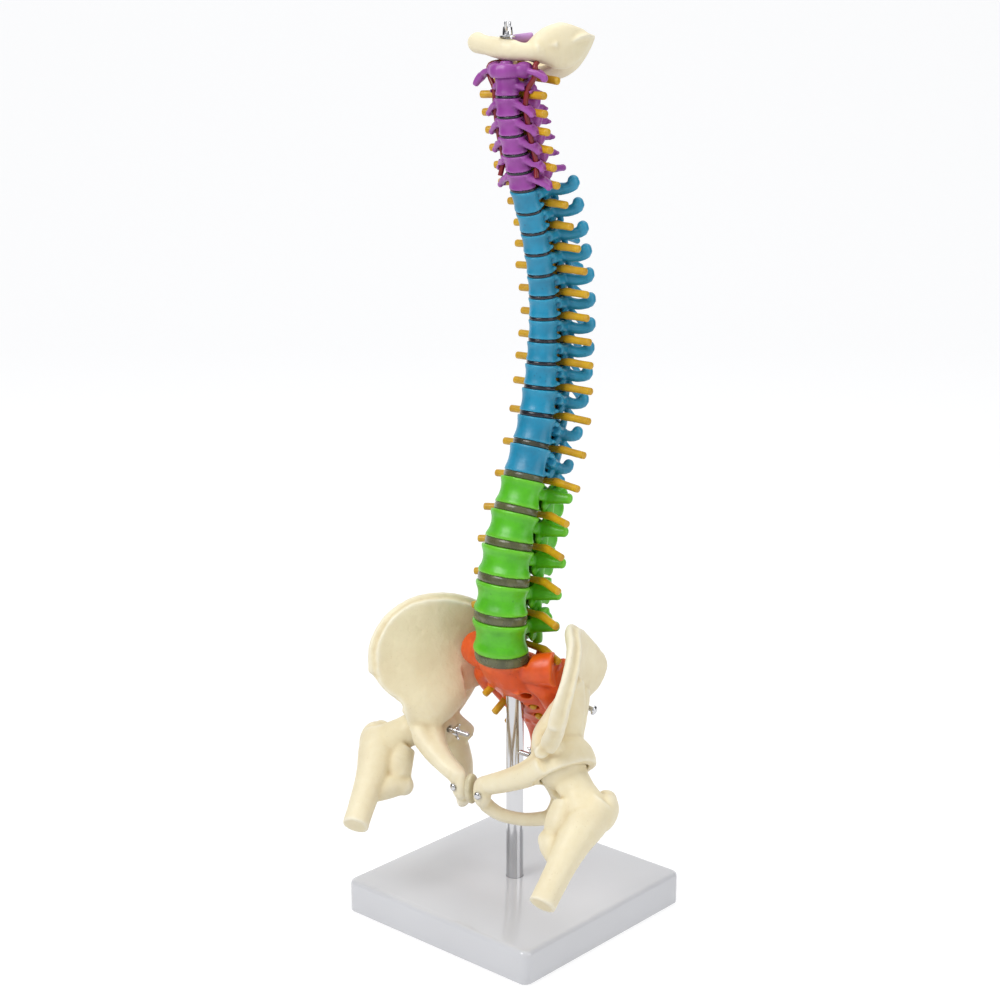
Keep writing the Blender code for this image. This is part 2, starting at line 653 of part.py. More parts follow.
def make_nerves(discs):
    """Spinal cord with its nerve stubs, moulded as one soft piece."""
    bm = bmesh.new()
    points = cord_points(discs)
    sizes = [CORD_RADIUS] * (len(points) - 2) + [CORD_RADIUS * 0.85, CORD_RADIUS * 0.6]
    add_limb(bm, points, sizes, sides=6, level_side=(1, 0, 0))
    cord = make_object("spinal_cord_nerves", bm, "nerve", round_angle=60.0)
    bm = bmesh.new()
    add_nerves(bm, nerve_routes(discs), NERVE_RADIUS, 4, 0.0)
    stubs = make_cutter("nerve_stubs", bm)
    join = cord.modifiers.new("stubs", "BOOLEAN")
    join.operation = "UNION"
    join.solver = "EXACT"
    join.object = stubs
    bake(cord)
    make_sound(cord)
    shade(cord, 60.0)
    return cord


def make_nerve_space(discs):
    """Tool body: the room round the sacral nerves and the pair above them."""
    bm = bmesh.new()
    add_nerves(bm, nerve_routes(discs)[-4:], NERVE_RADIUS + 2.5 * GAP, 4, 4.0)
    return make_cutter("nerve_space", bm)


def artery_points(bodies, side):
    """Route of a vertebral artery up through the neck and over the atlas."""
    points = []
    for level in ("C7", "C6", "C5", "C4", "C3"):
        out = at_level(BODY_WIDTH, level) / 2 + ARTERY_OUT
        points.append(bodies[level] @ Vector((side * out, 1.7, 0)))
    points[0] = bodies["C7"] @ Vector((side * 11.6, -1.6, 2.0))
    points.append(bodies["C2"] @ Vector((side * 10.6, 2.8, -1.0)))
    points.append(bodies["C1"] @ Vector((side * 14.2, 3.6, -2.6)))
    points.append(bodies["C1"] @ Vector((side * 14.2, 3.8, 2.6)))
    points.append(bodies["C1"] @ Vector((side * 10.6, 9.4, 4.2)))
    points.append(bodies["C1"] @ Vector((side * 5.6, 10.2, 5.4)))
    return points


def make_artery(name, bodies, side):
    """Vertebral artery of one side."""
    bm = bmesh.new()
    points = artery_points(bodies, side)
    add_limb(bm, points, [ARTERY_RADIUS] * len(points), sides=6, level_side=(0, 1, 0))
    return make_object(name, bm, "artery", round_angle=60.0)


def make_artery_space(bodies):
    """Tool body: the holes that the arteries run through."""
    bm = bmesh.new()
    for side in (-1, 1):
        points = artery_points(bodies, side)
        add_limb(bm, points, [ARTERY_RADIUS + 3 * GAP] * len(points), 8, (0, 1, 0))
    return make_cutter("artery_space", bm)


# Skull plate

def make_occiput(stud_space):
    """Occipital plate: front bar, condyles and the hollow shell at the back."""
    bm = bmesh.new()
    bar = [(-24.0, -1.6, 440.6), (-14.0, -4.6, 440.0), (0, -6.6, 439.0), (14.0, -4.6, 440.0),
           (24.0, -1.6, 440.6)]
    add_limb(bm, bar, [(5.0, 4.8), (4.6, 4.6), (4.6, 5.4), (4.6, 4.6), (5.0, 4.8)], level_side=(0, 0, 1))
    rows = []
    for centre, edge, half, low, high in (
        (17.0, 9.0, 20.0, 434.0, 443.0),
        (22.0, 16.0, 25.0, 430.6, 446.6),
        (27.0, 23.4, 25.6, 430.6, 449.6),
        (34.0, 31.0, 22.0, 434.0, 450.2),
        (41.0, 37.0, 14.0, 446.0, 450.4),
    ):
        row = []
        for across in (-1.0, -0.8, -0.45, 0.0, 0.45, 0.8, 1.0):
            bowl = abs(across) ** 2.2
            row.append((half * across, centre + (edge - centre) * across**2, low + (high - low) * bowl))
        rows.append(row)
    add_sheet(bm, rows, 3.6)
    for side in (-1, 1):
        add_ball(bm, (side * 24.0, -1.4, 440.6), (5.0, 4.8, 5.2))
        add_limb(bm, [(side * 23.6, -1.0, 440.8), (side * 22.8, 6.0, 441.6), (side * 20.6, 13.0, 442.4)],
                 [(3.6, 3.8), (3.0, 3.0), (2.6, 2.4)], level_side=(1, 0, 0))
        add_limb(bm, [(side * 12.0, -3.0, 439.4), (side * 11.4, 6.0, 438.4), (side * 9.0, 14.0, 436.6),
                      (side * 4.0, 18.6, 435.6)],
                 [(4.4, 3.4), (4.0, 2.8), (3.4, 2.4), (3.0, 2.0)], level_side=(1, 0, 0))
        add_limb(bm, [(side * 13.0, 4.0, 440.0), (side * 20.0, 8.0, 441.0)], [(6.0, 2.4), (5.0, 2.4)],
                 level_side=(0, 1, 0))
        add_ball(bm, (side * 8.6, -0.6, 438.0), (3.2, 5.0, 3.6))
    return make_bone("occipital_plate", bm, "bone", DETAIL["occiput"], bores=[stud_space])


# Sacrum

SACRUM_LINE = [(-8.6, 139.0), (-4.0, 130.5), (5.0, 120.0), (13.2, 110.0), (18.4, 100.6),
               (20.2, 92.4), (18.0, 85.4), (14.6, 80.6)]


def make_sacrum(cutters, bores):
    """Sacrum and coccyx, moulded as one piece."""
    bm = bmesh.new()
    line = [(0.0, y, z) for y, z in SACRUM_LINE]
    add_limb(bm, line, [(15.6, 10.8), (16.0, 10.4), (18.0, 8.2), (16.6, 6.6), (12.8, 5.0), (8.6, 3.8),
                        (4.4, 2.8), (2.4, 2.0)], sides=20)
    add_limb(bm, [(0, -10.6, 142.8), (0, -9.0, 139.8), (0, -6.6, 135.0)],
             [(15.6, 10.2), (15.8, 11.0), (15.0, 10.8)], sides=20)
    for side in (-1, 1):
        wing = [(side * 12.0, -3.4, 135.0), (side * 20.0, -1.8, 137.0), (side * 27.6, 1.6, 137.4)]
        add_limb(bm, wing, [(7.4, 5.4), (7.8, 5.8), (7.6, 7.4)], sides=14, level_side=(0, 1, 0))
        add_limb(bm, [(side * 24.4, 2.6, 137.0), (side * 23.6, 7.0, 126.0), (side * 19.0, 13.0, 112.0),
                      (side * 12.2, 18.0, 100.6)],
                 [(5.2, 9.0), (6.6, 8.6), (5.0, 6.0), (3.0, 4.4)], sides=12)
        add_limb(bm, [(side * 12.0, -2.0, 131.0), (side * 18.0, 3.0, 125.0), (side * 19.0, 8.0, 118.0)],
                 [(6.0, 5.0), (5.6, 5.0), (4.6, 4.6)], sides=12)
        add_limb(bm, [(side * 9.8, 6.0, 134.4), (side * 10.4, 7.8, 140.4), (side * 10.6, 8.6, 144.4)],
                 [(2.8, 2.8), (2.4, 2.4), (1.9, 2.0)])
        add_limb(bm, [(side * 10.2, 8.0, 136.0), (side * 6.0, 14.0, 133.6), (0, 16.8, 131.4)],
                 [(2.2, 3.0), (1.8, 3.2), (1.8, 3.4)])
    for place in (0.12, 0.4, 0.68):
        y, z = 17.6 + place * 9.0, 130.0 - place * 26.0
        add_ball(bm, (0, y, z), (1.9, 2.8, 3.6))
    add_limb(bm, [(0, 14.0, 133.0), (0, 20.6, 121.0), (0, 25.4, 108.0), (0, 24.6, 98.0)],
             [(6.4, 3.4), (6.6, 2.6), (5.6, 2.4), (3.4, 2.0)], sides=12)
    return make_bone("sacrum_coccyx", bm, "orange", DETAIL["sacrum"], cutters, bores)


def make_sacral_canal():
    """Tool body: the canal down the back of the sacrum."""
    bm = bmesh.new()
    points = [(0, 5.0, 146.0), *SACRAL_CANAL, (0, 24.0, 103.0)]
    add_limb(bm, points, [(5.2, 4.6), (5.2, 4.6), (5.0, 4.4), (4.2, 3.8), (3.2, 2.6)], sides=6)
    return make_cutter("sacral_canal", bm)


def make_side_space(side, medial):
    """Tool body: all that lies past one face of the sacroiliac joint."""
    bm = bmesh.new()
    bmesh.ops.create_cube(bm, size=1.0)
    bmesh.ops.scale(bm, vec=(30.0, 60.0, 64.0), verts=bm.verts)
    away = GAP / 2 - 15.0 if medial else 15.0 - GAP / 2
    turn = Matrix.Rotation(math.radians(side * SACRUM_SIDE_TURN), 4, "Z")
    place = Matrix.Translation((side * SACRUM_SIDE[0], SACRUM_SIDE[1], 0))
    shift = Matrix.Translation((side * away, 16.0, 120.0 if medial else 116.0))
    return make_cutter(f"side_{'in' if medial else 'out'}_{side}", bm, place @ turn @ shift)


# Pelvis

def add_wing(bm, side):
    """Thin curved blade of the ilium with its thick crest."""
    crest = [(61.0, -42.0, 128.0), (62.4, -39.0, 139.6), (60.5, -31.0, 152.0), (54.0, -20.6, 160.4),
             (43.6, -9.6, 163.4), (35.6, 3.0, 159.6), (32.0, 15.5, 150.4), (29.4, 29.0, 137.0)]
    brim = [(47.0, -34.0, 108.6), (42.0, -28.6, 107.0), (36.0, -23.0, 108.6), (33.0, -16.0, 112.0),
            (31.6, -7.0, 116.6), (30.6, 3.0, 118.6), (29.4, 12.0, 119.6), (27.0, 25.0, 122.0)]
    rows = []
    for rise, bulge in ((0.0, 0.0), (0.3, 2.6), (0.65, 3.2), (0.88, 1.2), (1.0, 0.0)):
        row = []
        for low, high in zip(brim, crest):
            point = Vector(low).lerp(Vector(high), rise)
            outward = Vector((point.x, point.y + 10.0, 0)).normalized()
            row.append(point + outward * bulge)
        rows.append(mirrored(row, side))
    add_sheet(bm, rows, 3.4)
    band = [(x, y, z - 2.0) for x, y, z in crest]
    add_limb(bm, mirrored(band, side), [(3.2, 2.4)] + [(4.6, 2.3)] * 6 + [(3.6, 3.0)], level_side=(0, 0, 1))


def add_inner_wall(bm, side):
    """Flat inner wall of the hip bone beside the socket, from the brim to the spine behind it."""
    rows = [
        [(33.0, -21.0, 108.0), (32.4, -17.6, 109.6), (32.0, -13.6, 112.0), (32.0, -10.0, 115.0)],
        [(31.6, -20.6, 100.0), (31.0, -16.0, 100.6), (30.4, -12.0, 101.6), (29.6, -8.6, 103.0)],
        [(31.2, -19.6, 92.0), (30.8, -13.0, 91.0), (28.8, -6.6, 90.4), (25.2, -1.6, 90.4)],
        [(30.6, -18.0, 84.0), (31.0, -12.6, 82.0), (30.8, -7.6, 80.6), (30.4, -3.6, 80.0)],
        [(33.0, -12.0, 75.0), (33.0, -9.0, 72.0), (32.6, -4.6, 70.0), (32.0, 0.6, 69.0)],
    ]
    add_sheet(bm, [mirrored(row, side) for row in rows], 3.6)


def make_hip_bone(name, side, bores):
    """Hip bone: ilium, ischium and pubis grown together round the socket."""
    bm = bmesh.new()
    x, y, z = HIP_CENTRE
    add_wing(bm, side)

    def limb(points, sizes, level_side=(1, 0, 0)):
        add_limb(bm, mirrored(points, side), sizes, 12, level_side)

    def ball(centre, radii):
        add_ball(bm, mirrored([centre], side)[0], radii, detail=3)

    add_inner_wall(bm, side)
    ball((x + 1.4, y + 0.6, z + 0.6), 16.2)
    limb([(42.0, -16.0, 103.0), (36.0, -13.4, 112.0), (33.4, -6.0, 118.4), (31.0, 5.0, 121.6),
          (30.0, 16.0, 123.0), (28.6, 27.0, 129.0)],
         [(8.4, 7.4), (6.6, 6.4), (5.0, 5.4), (4.6, 6.6), (4.6, 7.6), (4.0, 7.4)])
    limb([(46.0, -20.0, 106.0), (49.0, -31.0, 112.6), (55.0, -37.4, 120.0), (60.4, -41.0, 127.6)],
         [(7.6, 5.4), (4.4, 3.6), (3.2, 2.9), 2.7])
    limb([(42.0, -8.0, 92.0), (38.0, -3.6, 82.0), (35.0, -2.6, 73.0), (33.0, -4.0, 65.0)],
         [(8.6, 7.0), (6.6, 6.2), (5.4, 6.0), (5.0, 6.2)])
    ball((32.6, -4.6, 64.0), (5.0, 6.6, 5.4))
    limb([(31.0, -8.0, 61.4), (22.0, -17.0, 60.6), (13.0, -25.6, 63.6), (6.8, -31.0, 69.6)],
         [(3.8, 4.0), (3.0, 3.6), (3.0, 3.6), (3.6, 4.0)])
    limb([(39.0, -20.0, 110.0), (37.0, -22.6, 101.0), (32.0, -25.6, 92.6), (22.0, -31.0, 86.4),
          (8.0, -33.2, 80.6)], [(7.6, 6.4), (7.6, 7.4), (6.6, 7.0), (5.0, 5.4), (4.6, 4.6)], (0, 1, 0))
    limb([(43.0, -29.0, 98.0), (34.0, -32.0, 91.0), (22.0, -34.6, 85.6)],
         [(5.0, 5.0), (4.6, 4.6), (3.6, 3.6)], (0, 1, 0))
    ball((7.4, -33.2, 76.4), (5.2, 4.4, 8.6))
    return make_bone(name, bm, "bone", DETAIL["hip"], bores=bores)


def make_socket(side):
    """Tool body: the ball socket and the open side that the femur's neck comes out of."""
    bm = bmesh.new()
    centre = Vector(mirrored([HIP_CENTRE], side)[0])
    radius = HEAD_RADIUS + SOCKET_PLAY
    bmesh.ops.create_uvsphere(bm, u_segments=14, v_segments=8, radius=radius,
                              matrix=Matrix.Translation(centre))
    ball = make_cutter(f"socket_ball_{side}", bm)
    bm = bmesh.new()
    axis = Vector(mirrored([SOCKET_AXIS], side)[0]).normalized()
    turn = axis.to_track_quat("Z", "Y").to_matrix().to_4x4()
    depth = 24.0
    place = Matrix.Translation(centre + axis * (depth / 2 + SOCKET_LIP)) @ turn
    bmesh.ops.create_cone(bm, cap_ends=True, segments=16, radius1=radius + 3.2, radius2=radius + 14.0,
                          depth=depth, matrix=place)
    return ball, make_cutter(f"socket_mouth_{side}", bm)


def make_rod_space(name, start, end, radius, sides=6):
    """Tool body: a straight hole."""
    bm = bmesh.new()
    add_limb(bm, [start, end], [radius, radius], sides, level_side=(0, 0, 1))
    return make_cutter(name, bm)


# Femurs

def make_femur(name, side, parent, frame, bores):
    """Top third of a femur, cut flat across the shaft."""
    bm = bmesh.new()

    def limb(points, sizes, level_side=(0, 1, 0)):
        add_limb(bm, mirrored(points, side), sizes, 14, level_side)

    def ball(centre, radii):
        add_ball(bm, mirrored([centre], side)[0], radii, detail=3)

    ball((0, 0, 0), HEAD_RADIUS)
    limb([(2.0, -0.2, -1.0), (13.0, -0.4, -8.8), (20.0, 0.2, -15.0), (24.0, 0.6, -19.0)],
         [(9.6, 10.0), (7.4, 8.8), (8.8, 11.6), (8.8, 10.6)])
    limb([(25.0, 1.0, -10.0), (23.0, 0.6, -21.0), (21.8, -0.4, -35.0), (21.8, -1.4, -52.0),
          (21.6, -1.6, -71.0)], [(9.4, 9.2), (10.2, 10.6), (8.4, 8.6), (6.9, 6.9), (6.7, 6.7)])
    limb([(8.6, 7.0, -30.0), (14.0, 4.4, -33.0), (19.0, 1.6, -40.0)], [(4.2, 4.2), (5.4, 5.4), (5.0, 5.0)])
    limb([(12.0, 1.6, -15.0), (13.0, 4.2, -22.0), (10.6, 6.6, -29.0)], [(5.6, 5.6), (6.4, 6.2), (4.6, 4.6)])
    ball((28.6, 2.6, -12.6), (7.2, 8.6, 10.6))
    ball((27.0, 5.0, -5.6), (5.6, 6.2, 6.2))
    ball((8.4, 8.0, -30.6), (4.2, 4.4, 5.0))
    return make_bone(name, bm, "bone", DETAIL["femur"], (), bores, frame, parent)


def femur_frame(side, turn):
    """Frame of a femur at its head's centre, swung, tipped and twisted by three angles."""
    swing, tip, twist = (math.radians(angle) for angle in turn)
    spin = Matrix.Rotation(twist, 4, "Z") @ Matrix.Rotation(tip, 4, "Y") @ Matrix.Rotation(swing, 4, "X")
    return Matrix.Translation(mirrored([HIP_CENTRE], side)[0]) @ spin


def make_shaft_end(name, side, frame):
    """Tool body: what is sawn off below the femur's flat end."""
    bm = bmesh.new()
    bmesh.ops.create_cube(bm, size=40.0)
    return make_cutter(name, bm, frame @ Matrix.Translation((side * 22.0, 0, -FEMUR_LENGTH - 20.0)))


# Stand

def rounded_block(bm, side, low, high, corner):
    """Square block with rounded upright corners."""
    bmesh.ops.create_cube(bm, size=1.0, matrix=Matrix.Translation((0, 0, 0.5)))
    bmesh.ops.scale(bm, vec=(side, side, high - low), verts=bm.verts)
    bmesh.ops.translate(bm, vec=(0, 0, low), verts=bm.verts)
    upright = [edge for edge in bm.edges if abs(edge.verts[0].co.z - edge.verts[1].co.z) > 1.0]
    bmesh.ops.bevel(bm, geom=upright, offset=corner, segments=2, affect="EDGES", profile=0.5)


def make_base():
    """Base plate: a glossy board with soft edges, plain below, with a seat for the tube."""
    bm = bmesh.new()
    rounded_block(bm, BASE_SIDE, 0.0, BASE_HEIGHT, BASE_CORNER)
    rim = [edge for edge in bm.edges if min(vert.co.z for vert in edge.verts) > BASE_HEIGHT - 0.1]
    bmesh.ops.bevel(bm, geom=rim, offset=BASE_EDGE, segments=2, affect="EDGES", profile=0.5)
    foot = [edge for edge in bm.edges if max(vert.co.z for vert in edge.verts) < 0.1]
    bmesh.ops.bevel(bm, geom=foot, offset=0.8, segments=1, affect="EDGES")
    base = make_object("base_plate", bm, "white", round_angle=60.0)
    seat = make_rod_space("tube_seat", (0, 0, BASE_HEIGHT - TUBE_SEAT), (0, 0, BASE_HEIGHT + 5),
                          TUBE_RADIUS + GAP, 16)
    bm = bmesh.new()
    hole = SCREW_SHANK + GAP
    depth = STUD_FOOT - GAP
    solid_profile(bm, [(0, depth), (hole, depth), (hole, BASE_HEIGHT), (0, BASE_HEIGHT)], 12)
    cut(base, seat, make_cutter("screw_hole", bm))
    return base


def make_tube():
    """Chromed support tube with a plug in its foot for the screw and an open top."""
    bm = bmesh.new()
    foot = BASE_HEIGHT - TUBE_SEAT + GAP
    inner = TUBE_RADIUS - TUBE_WALL
    profile = [(SCREW_SHANK + GAP, foot), (TUBE_RADIUS - 0.3, foot), (TUBE_RADIUS, foot + 0.3),
               (TUBE_RADIUS, TUBE_TOP), (inner, TUBE_TOP), (inner, foot + TUBE_PLUG),
               (SCREW_SHANK + GAP, foot + TUBE_PLUG)]
    spin_profile(bm, profile, 16)
    return make_object("support_tube", bm, "chrome")


def spin_profile(bm, profile, steps, frame=None):
    """Turned piece from its half outline, as (radius, height) points that close on themselves."""
    verts = [bm.verts.new((radius, 0, height)) for radius, height in profile]
    edges = [bm.edges.new((a, b)) for a, b in zip(verts, verts[1:] + verts[:1])]
    bmesh.ops.spin(bm, geom=verts + edges, cent=(0, 0, 0), axis=(0, 0, 1), angle=math.tau,
                   steps=steps, use_merge=True)
    bmesh.ops.remove_doubles(bm, verts=bm.verts, dist=0.001)
    if frame is not None:
        bmesh.ops.transform(bm, matrix=frame, verts=bm.verts)


def solid_profile(bm, profile, steps, frame=None):
    """Turned solid whose outline starts and ends on its axis."""
    verts = [bm.verts.new((radius, 0, height)) for radius, height in profile]
    edges = [bm.edges.new((a, b)) for a, b in zip(verts, verts[1:])]
    bmesh.ops.spin(bm, geom=verts + edges, cent=(0, 0, 0), axis=(0, 0, 1), angle=math.tau,
                   steps=steps, use_merge=True)
    bmesh.ops.remove_doubles(bm, verts=bm.verts, dist=0.001)
    if frame is not None:
        bmesh.ops.transform(bm, matrix=frame, verts=bm.verts)


def axis_frame(start, towards):
    """Frame at a point with its Z axis towards another point."""
    along = Vector(towards) - Vector(start)
    return Matrix.Translation(start) @ along.to_track_quat("Z", "Y").to_matrix().to_4x4()


def make_screw(name, colour, start, towards, length, shank, head, head_height, steps=10):
    """Pan-head screw: its head stands at start, its shank runs towards a point."""
    bm = bmesh.new()
    profile = [(0, -head_height), (head * 0.7, -head_height), (head, -head_height * 0.5), (head, 0),
               (shank, 0), (shank, length - shank * 0.6), (shank * 0.4, length), (0, length)]
    solid_profile(bm, profile, steps, axis_frame(start, towards))
    return make_object(name, bm, colour)


def make_wing_nut(name, start, towards, hub, height, span, bore, turn=0.0, parent=None):
    """Wing nut: tapered hub on a thread, with two upswept ears."""
    frame = axis_frame(start, towards) @ Matrix.Rotation(math.radians(turn), 4, "Z")
    bm = bmesh.new()
    spin_profile(bm, [(bore, 0), (hub, 0), (hub * 0.86, height), (bore, height)], 12, frame)
    nut = make_object(name, bm, "chrome", parent=parent)
    bm = bmesh.new()
    for side in (-1, 1):
        outline = [(hub * 0.62, 0.25 * height), (span * 0.62, 0.5 * height), (span, 1.15 * height),
                   (span, 1.75 * height), (span * 0.72, 1.9 * height), (hub * 0.7, 0.95 * height)]
        verts = [bm.verts.new((side * across, -0.65, rise)) for across, rise in outline]
        face = bm.faces.new(verts)
        made = bmesh.ops.extrude_face_region(bm, geom=[face])
        moved = [item for item in made["geom"] if isinstance(item, bmesh.types.BMVert)]
        bmesh.ops.translate(bm, vec=(0, 1.3, 0), verts=moved)
    bmesh.ops.transform(bm, matrix=frame, verts=bm.verts)
    ears = make_cutter(f"{name}_ears", bm)
    join = nut.modifiers.new("ears", "BOOLEAN")
    join.operation = "UNION"
    join.solver = "EXACT"
    join.object = ears
    bake(nut)
    shade(nut)
    return nut


def make_washer(name, frame, inner, outer, thickness):
    """Flat washer."""
    bm = bmesh.new()
    profile = [(inner, 0), (outer, 0), (outer, thickness), (inner, thickness)]
    spin_profile(bm, profile, 14, frame)
    return make_object(name, bm, "chrome")


def make_tube_screw():
    """Headless screw set in the base that the tube's plug is turned onto."""
    bm = bmesh.new()
    end = BASE_HEIGHT - TUBE_SEAT + TUBE_PLUG - 1.0
    profile = [(0, STUD_FOOT), (SCREW_SHANK * 0.6, STUD_FOOT), (SCREW_SHANK, STUD_FOOT + 0.8),
               (SCREW_SHANK, end - 0.8), (SCREW_SHANK * 0.4, end), (0, end)]
    solid_profile(bm, profile, 12)
    return make_object("tube_screw", bm, "chrome")


def make_tube_stud():
    """Threaded stud with its nut, from the tube's top up into the sacrum."""
    bm = bmesh.new()
    profile = [(0, TUBE_TOP - 8), (TUBE_STUD, TUBE_TOP - 8), (TUBE_STUD, TUBE_TOP + GAP),
               (3.7, TUBE_TOP + GAP), (3.7, TUBE_TOP + 3.0), (TUBE_STUD, TUBE_TOP + 3.0),
               (TUBE_STUD, TUBE_TOP + 13.0), (0, TUBE_TOP + 13.4)]
    solid_profile(bm, profile, 8)
    return make_object("tube_top_stud", bm, "chrome")


def make_top_stud():
    """Threaded stud from the peg of the axis up through the skull plate."""
    bm = bmesh.new()
    low, high = STUD_SPAN
    profile = [(0, low), (STUD_RADIUS, low), (STUD_RADIUS, high - 0.5), (STUD_RADIUS * 0.6, high), (0, high)]
    solid_profile(bm, profile, 10, Matrix.Translation((0, STUD_PLACE, 0)))
    return make_object("top_stud", bm, "chrome")


def make_brainstem():
    """Stub of the brain stem that stands in the skull plate's opening."""
    bm = bmesh.new()
    profile = [(0, 0), (BRAINSTEM_RADIUS * 0.8, 0), (BRAINSTEM_RADIUS, 2.0), (BRAINSTEM_RADIUS, 9.2),
               (BRAINSTEM_RADIUS * 0.86, 10.0), (0, 10.0)]
    low, high = (0, 4.4, 435.0), (0, 6.4, 445.0)
    solid_profile(bm, profile, 12, axis_frame(low, high))
    return make_object("brainstem_stub", bm, "stem")


def make_symphysis():
    """Translucent pad between the two pubic bones."""
    bm = bmesh.new()
    pad = SYMPHYSIS_HALF - 2 * GAP
    frames = [Matrix.Translation((x, -33.2, 76.4)) @ Matrix.Rotation(math.radians(90), 4, "Y")
              for x in (-pad, pad)]
    skin_rings(bm, [add_ring(bm, frame, 8.6, 4.6, 14) for frame in frames])
    return make_object("pubic_pad", bm, "pad")


def make_joint_axis(name, side):
    """Empty on the axis that a femur swings about."""
    pivot = bpy.data.objects.new(name, None)
    pivot.location = Vector(mirrored([HIP_CENTRE], side)[0]) * MM
    bpy.context.collection.objects.link(pivot)
    bpy.context.view_layer.update()
    return pivot


# The whole model

def make_stand():
    """Base, tube, the screw that holds the tube, and the stud on top."""
    make_base()
    make_tube()
    make_tube_screw()
    make_tube_stud()


def make_column():
    """Vertebrae, discs, nerves and arteries."""
    discs, bodies = lay_out_column()
    core_bore = make_core_bore(discs)
    disc_space = make_disc_space(discs)
    artery_space = make_artery_space(bodies)
    nerve_space = make_nerve_space(discs)
    low, high = (Vector((0, STUD_PLACE, height)) for height in STUD_SPAN)
    stud_space = make_rod_space("stud_space", low - Vector((0, 0, 1)), high, STUD_RADIUS + 2 * GAP)
    make_atlas(bodies["C1"], [artery_space])
    make_axis(bodies["C2"], [disc_space, artery_space], [core_bore, stud_space])
    for level in LEVELS[2:]:
        cutters = [disc_space]
        if level in ("C3", "C4", "C5", "C6"):
            cutters.append(artery_space)
        make_vertebra(level, bodies[level], cutters, [core_bore])
    make_core(discs)
    make_nerves(discs)
    make_artery("vertebral_artery_right", bodies, -1)
    make_artery("vertebral_artery_left", bodies, 1)
    return core_bore, nerve_space, stud_space


def make_head_end(stud_space):
    """Skull plate with what clamps it."""
    make_occiput(stud_space)
    make_top_stud()
    seat = Matrix.Translation((0, STUD_PLACE, WASHER_HEIGHT))
    make_washer("top_washer", seat, STUD_RADIUS + GAP, 3.9, 0.8)
    nut_foot = WASHER_HEIGHT + 0.8 + GAP / 2
    make_wing_nut("top_wing_nut", (0, STUD_PLACE, nut_foot), (0, STUD_PLACE, nut_foot + 5), 2.6, 4.0, 5.2,
                  STUD_RADIUS + GAP / 2, turn=118.0)
    make_brainstem()


def make_pelvis(core_bore, nerve_space):
    """Sacrum, hip bones, femurs and their screws."""
    disc_space = bpy.data.objects["disc_space"]
    canal = make_sacral_canal()
    tube_space = make_rod_space("tube_space", (0, 0, 60), (0, 0, TUBE_TOP + 3.4), TUBE_RADIUS + 0.5, 16)
    seat_space = make_rod_space("seat_space", (0, 0, 100), (0, 0, TUBE_TOP + 14.2), TUBE_STUD + GAP)
    outside = [make_side_space(side, False) for side in (-1, 1)]
    inside = [make_side_space(side, True) for side in (-1, 1)]
    screws = []
    for side in (-1, 1):
        start, end = (Vector(mirrored([point], side)[0]) for point in SIDE_SCREW)
        screws.append(make_rod_space(f"side_screw_space_{side}", start, end, SIDE_SCREW_RADIUS + GAP))
    make_sacrum([disc_space, tube_space, *outside],
                [disc_space, *outside, core_bore, canal, nerve_space, tube_space, seat_space, *screws])
    for index, (word, side) in enumerate((("right", -1), ("left", 1))):
        ball, mouth = make_socket(side)
        centre = Vector(mirrored([HIP_CENTRE], side)[0])
        through = make_rod_space(f"bolt_space_{word}", centre, (side * 10, centre.y, centre.z),
                                 BOLT_RADIUS + GAP)
        seat = centre + Vector((side * (NUT_PLACE + GAP), 0, 0))
        nut = make_rod_space(f"nut_space_{word}", seat, seat - Vector((side * 16, 0, 0)), NUT_SEAT, 10)
        pubis = make_rod_space(f"pubic_screw_space_{word}", *pubic_screw(side), PUBIC_SCREW_RADIUS + GAP, 8)
        bores = [inside[index], ball, mouth, nut, through, screws[index], pubis]
        make_hip_bone(f"hip_bone_{word}", side, bores)
        make_side_screw(word, side)
        make_leg(word, side)
    make_symphysis()


def pubic_screw(side):
    """Head place and inner end of the screw in one pubic bone."""
    return (Vector((side * 8.4, -37.8, 76.2)), Vector((side * 7.2, -29.4, 76.2)))


def make_side_screw(word, side):
    """Screw through the ilium into the sacrum's wing, and the one in the pubic bone."""
    start, end = (Vector(mirrored([point], side)[0]) for point in SIDE_SCREW)
    length = (end - start).length - 3.0
    make_screw(f"sacroiliac_screw_{word}", "chrome", start, end, length, SIDE_SCREW_RADIUS, 2.5, 1.6)
    start, end = pubic_screw(side)
    make_screw(f"pubic_screw_{word}", "chrome", start, end, (end - start).length - 0.6,
               PUBIC_SCREW_RADIUS, 2.0, 1.2, steps=8)


def make_leg(word, side):
    """Femur with its bolt and wing nut, on the axis it swings about."""
    pivot = make_joint_axis(f"hip_axis_{word}", side)
    frame = femur_frame(side, FEMUR_TURN[word])
    centre = Vector(mirrored([HIP_CENTRE], side)[0])
    head_end = centre + Vector((side * BOLT_SPAN[0], 0, 0))
    nut_end = centre + Vector((side * BOLT_SPAN[1], 0, 0))
    hole = make_rod_space(f"head_hole_{word}", head_end + Vector((side * 0.8, 0, 0)), nut_end,
                          BOLT_RADIUS + GAP)
    make_femur(f"femur_{word}", side, pivot, frame, [hole, make_shaft_end(f"shaft_end_{word}", side, frame)])
    bm = bmesh.new()
    add_limb(bm, [head_end, nut_end, nut_end - Vector((side * 0.6, 0, 0))],
             [BOLT_RADIUS, BOLT_RADIUS, BOLT_RADIUS * 0.6], 10, (0, 0, 1))
    make_object(f"hip_bolt_{word}", bm, "chrome", parent=pivot)
    foot = centre + Vector((side * NUT_PLACE, 0, 0))
    make_wing_nut(f"hip_wing_nut_{word}", foot, nut_end, 2.3, 2.4, 4.4, BOLT_RADIUS + GAP / 2, 84.0, pivot)


def clear_scene():
    """Empties the scene before the model is built."""
    for obj in list(bpy.data.objects):
        bpy.data.objects.remove(obj)


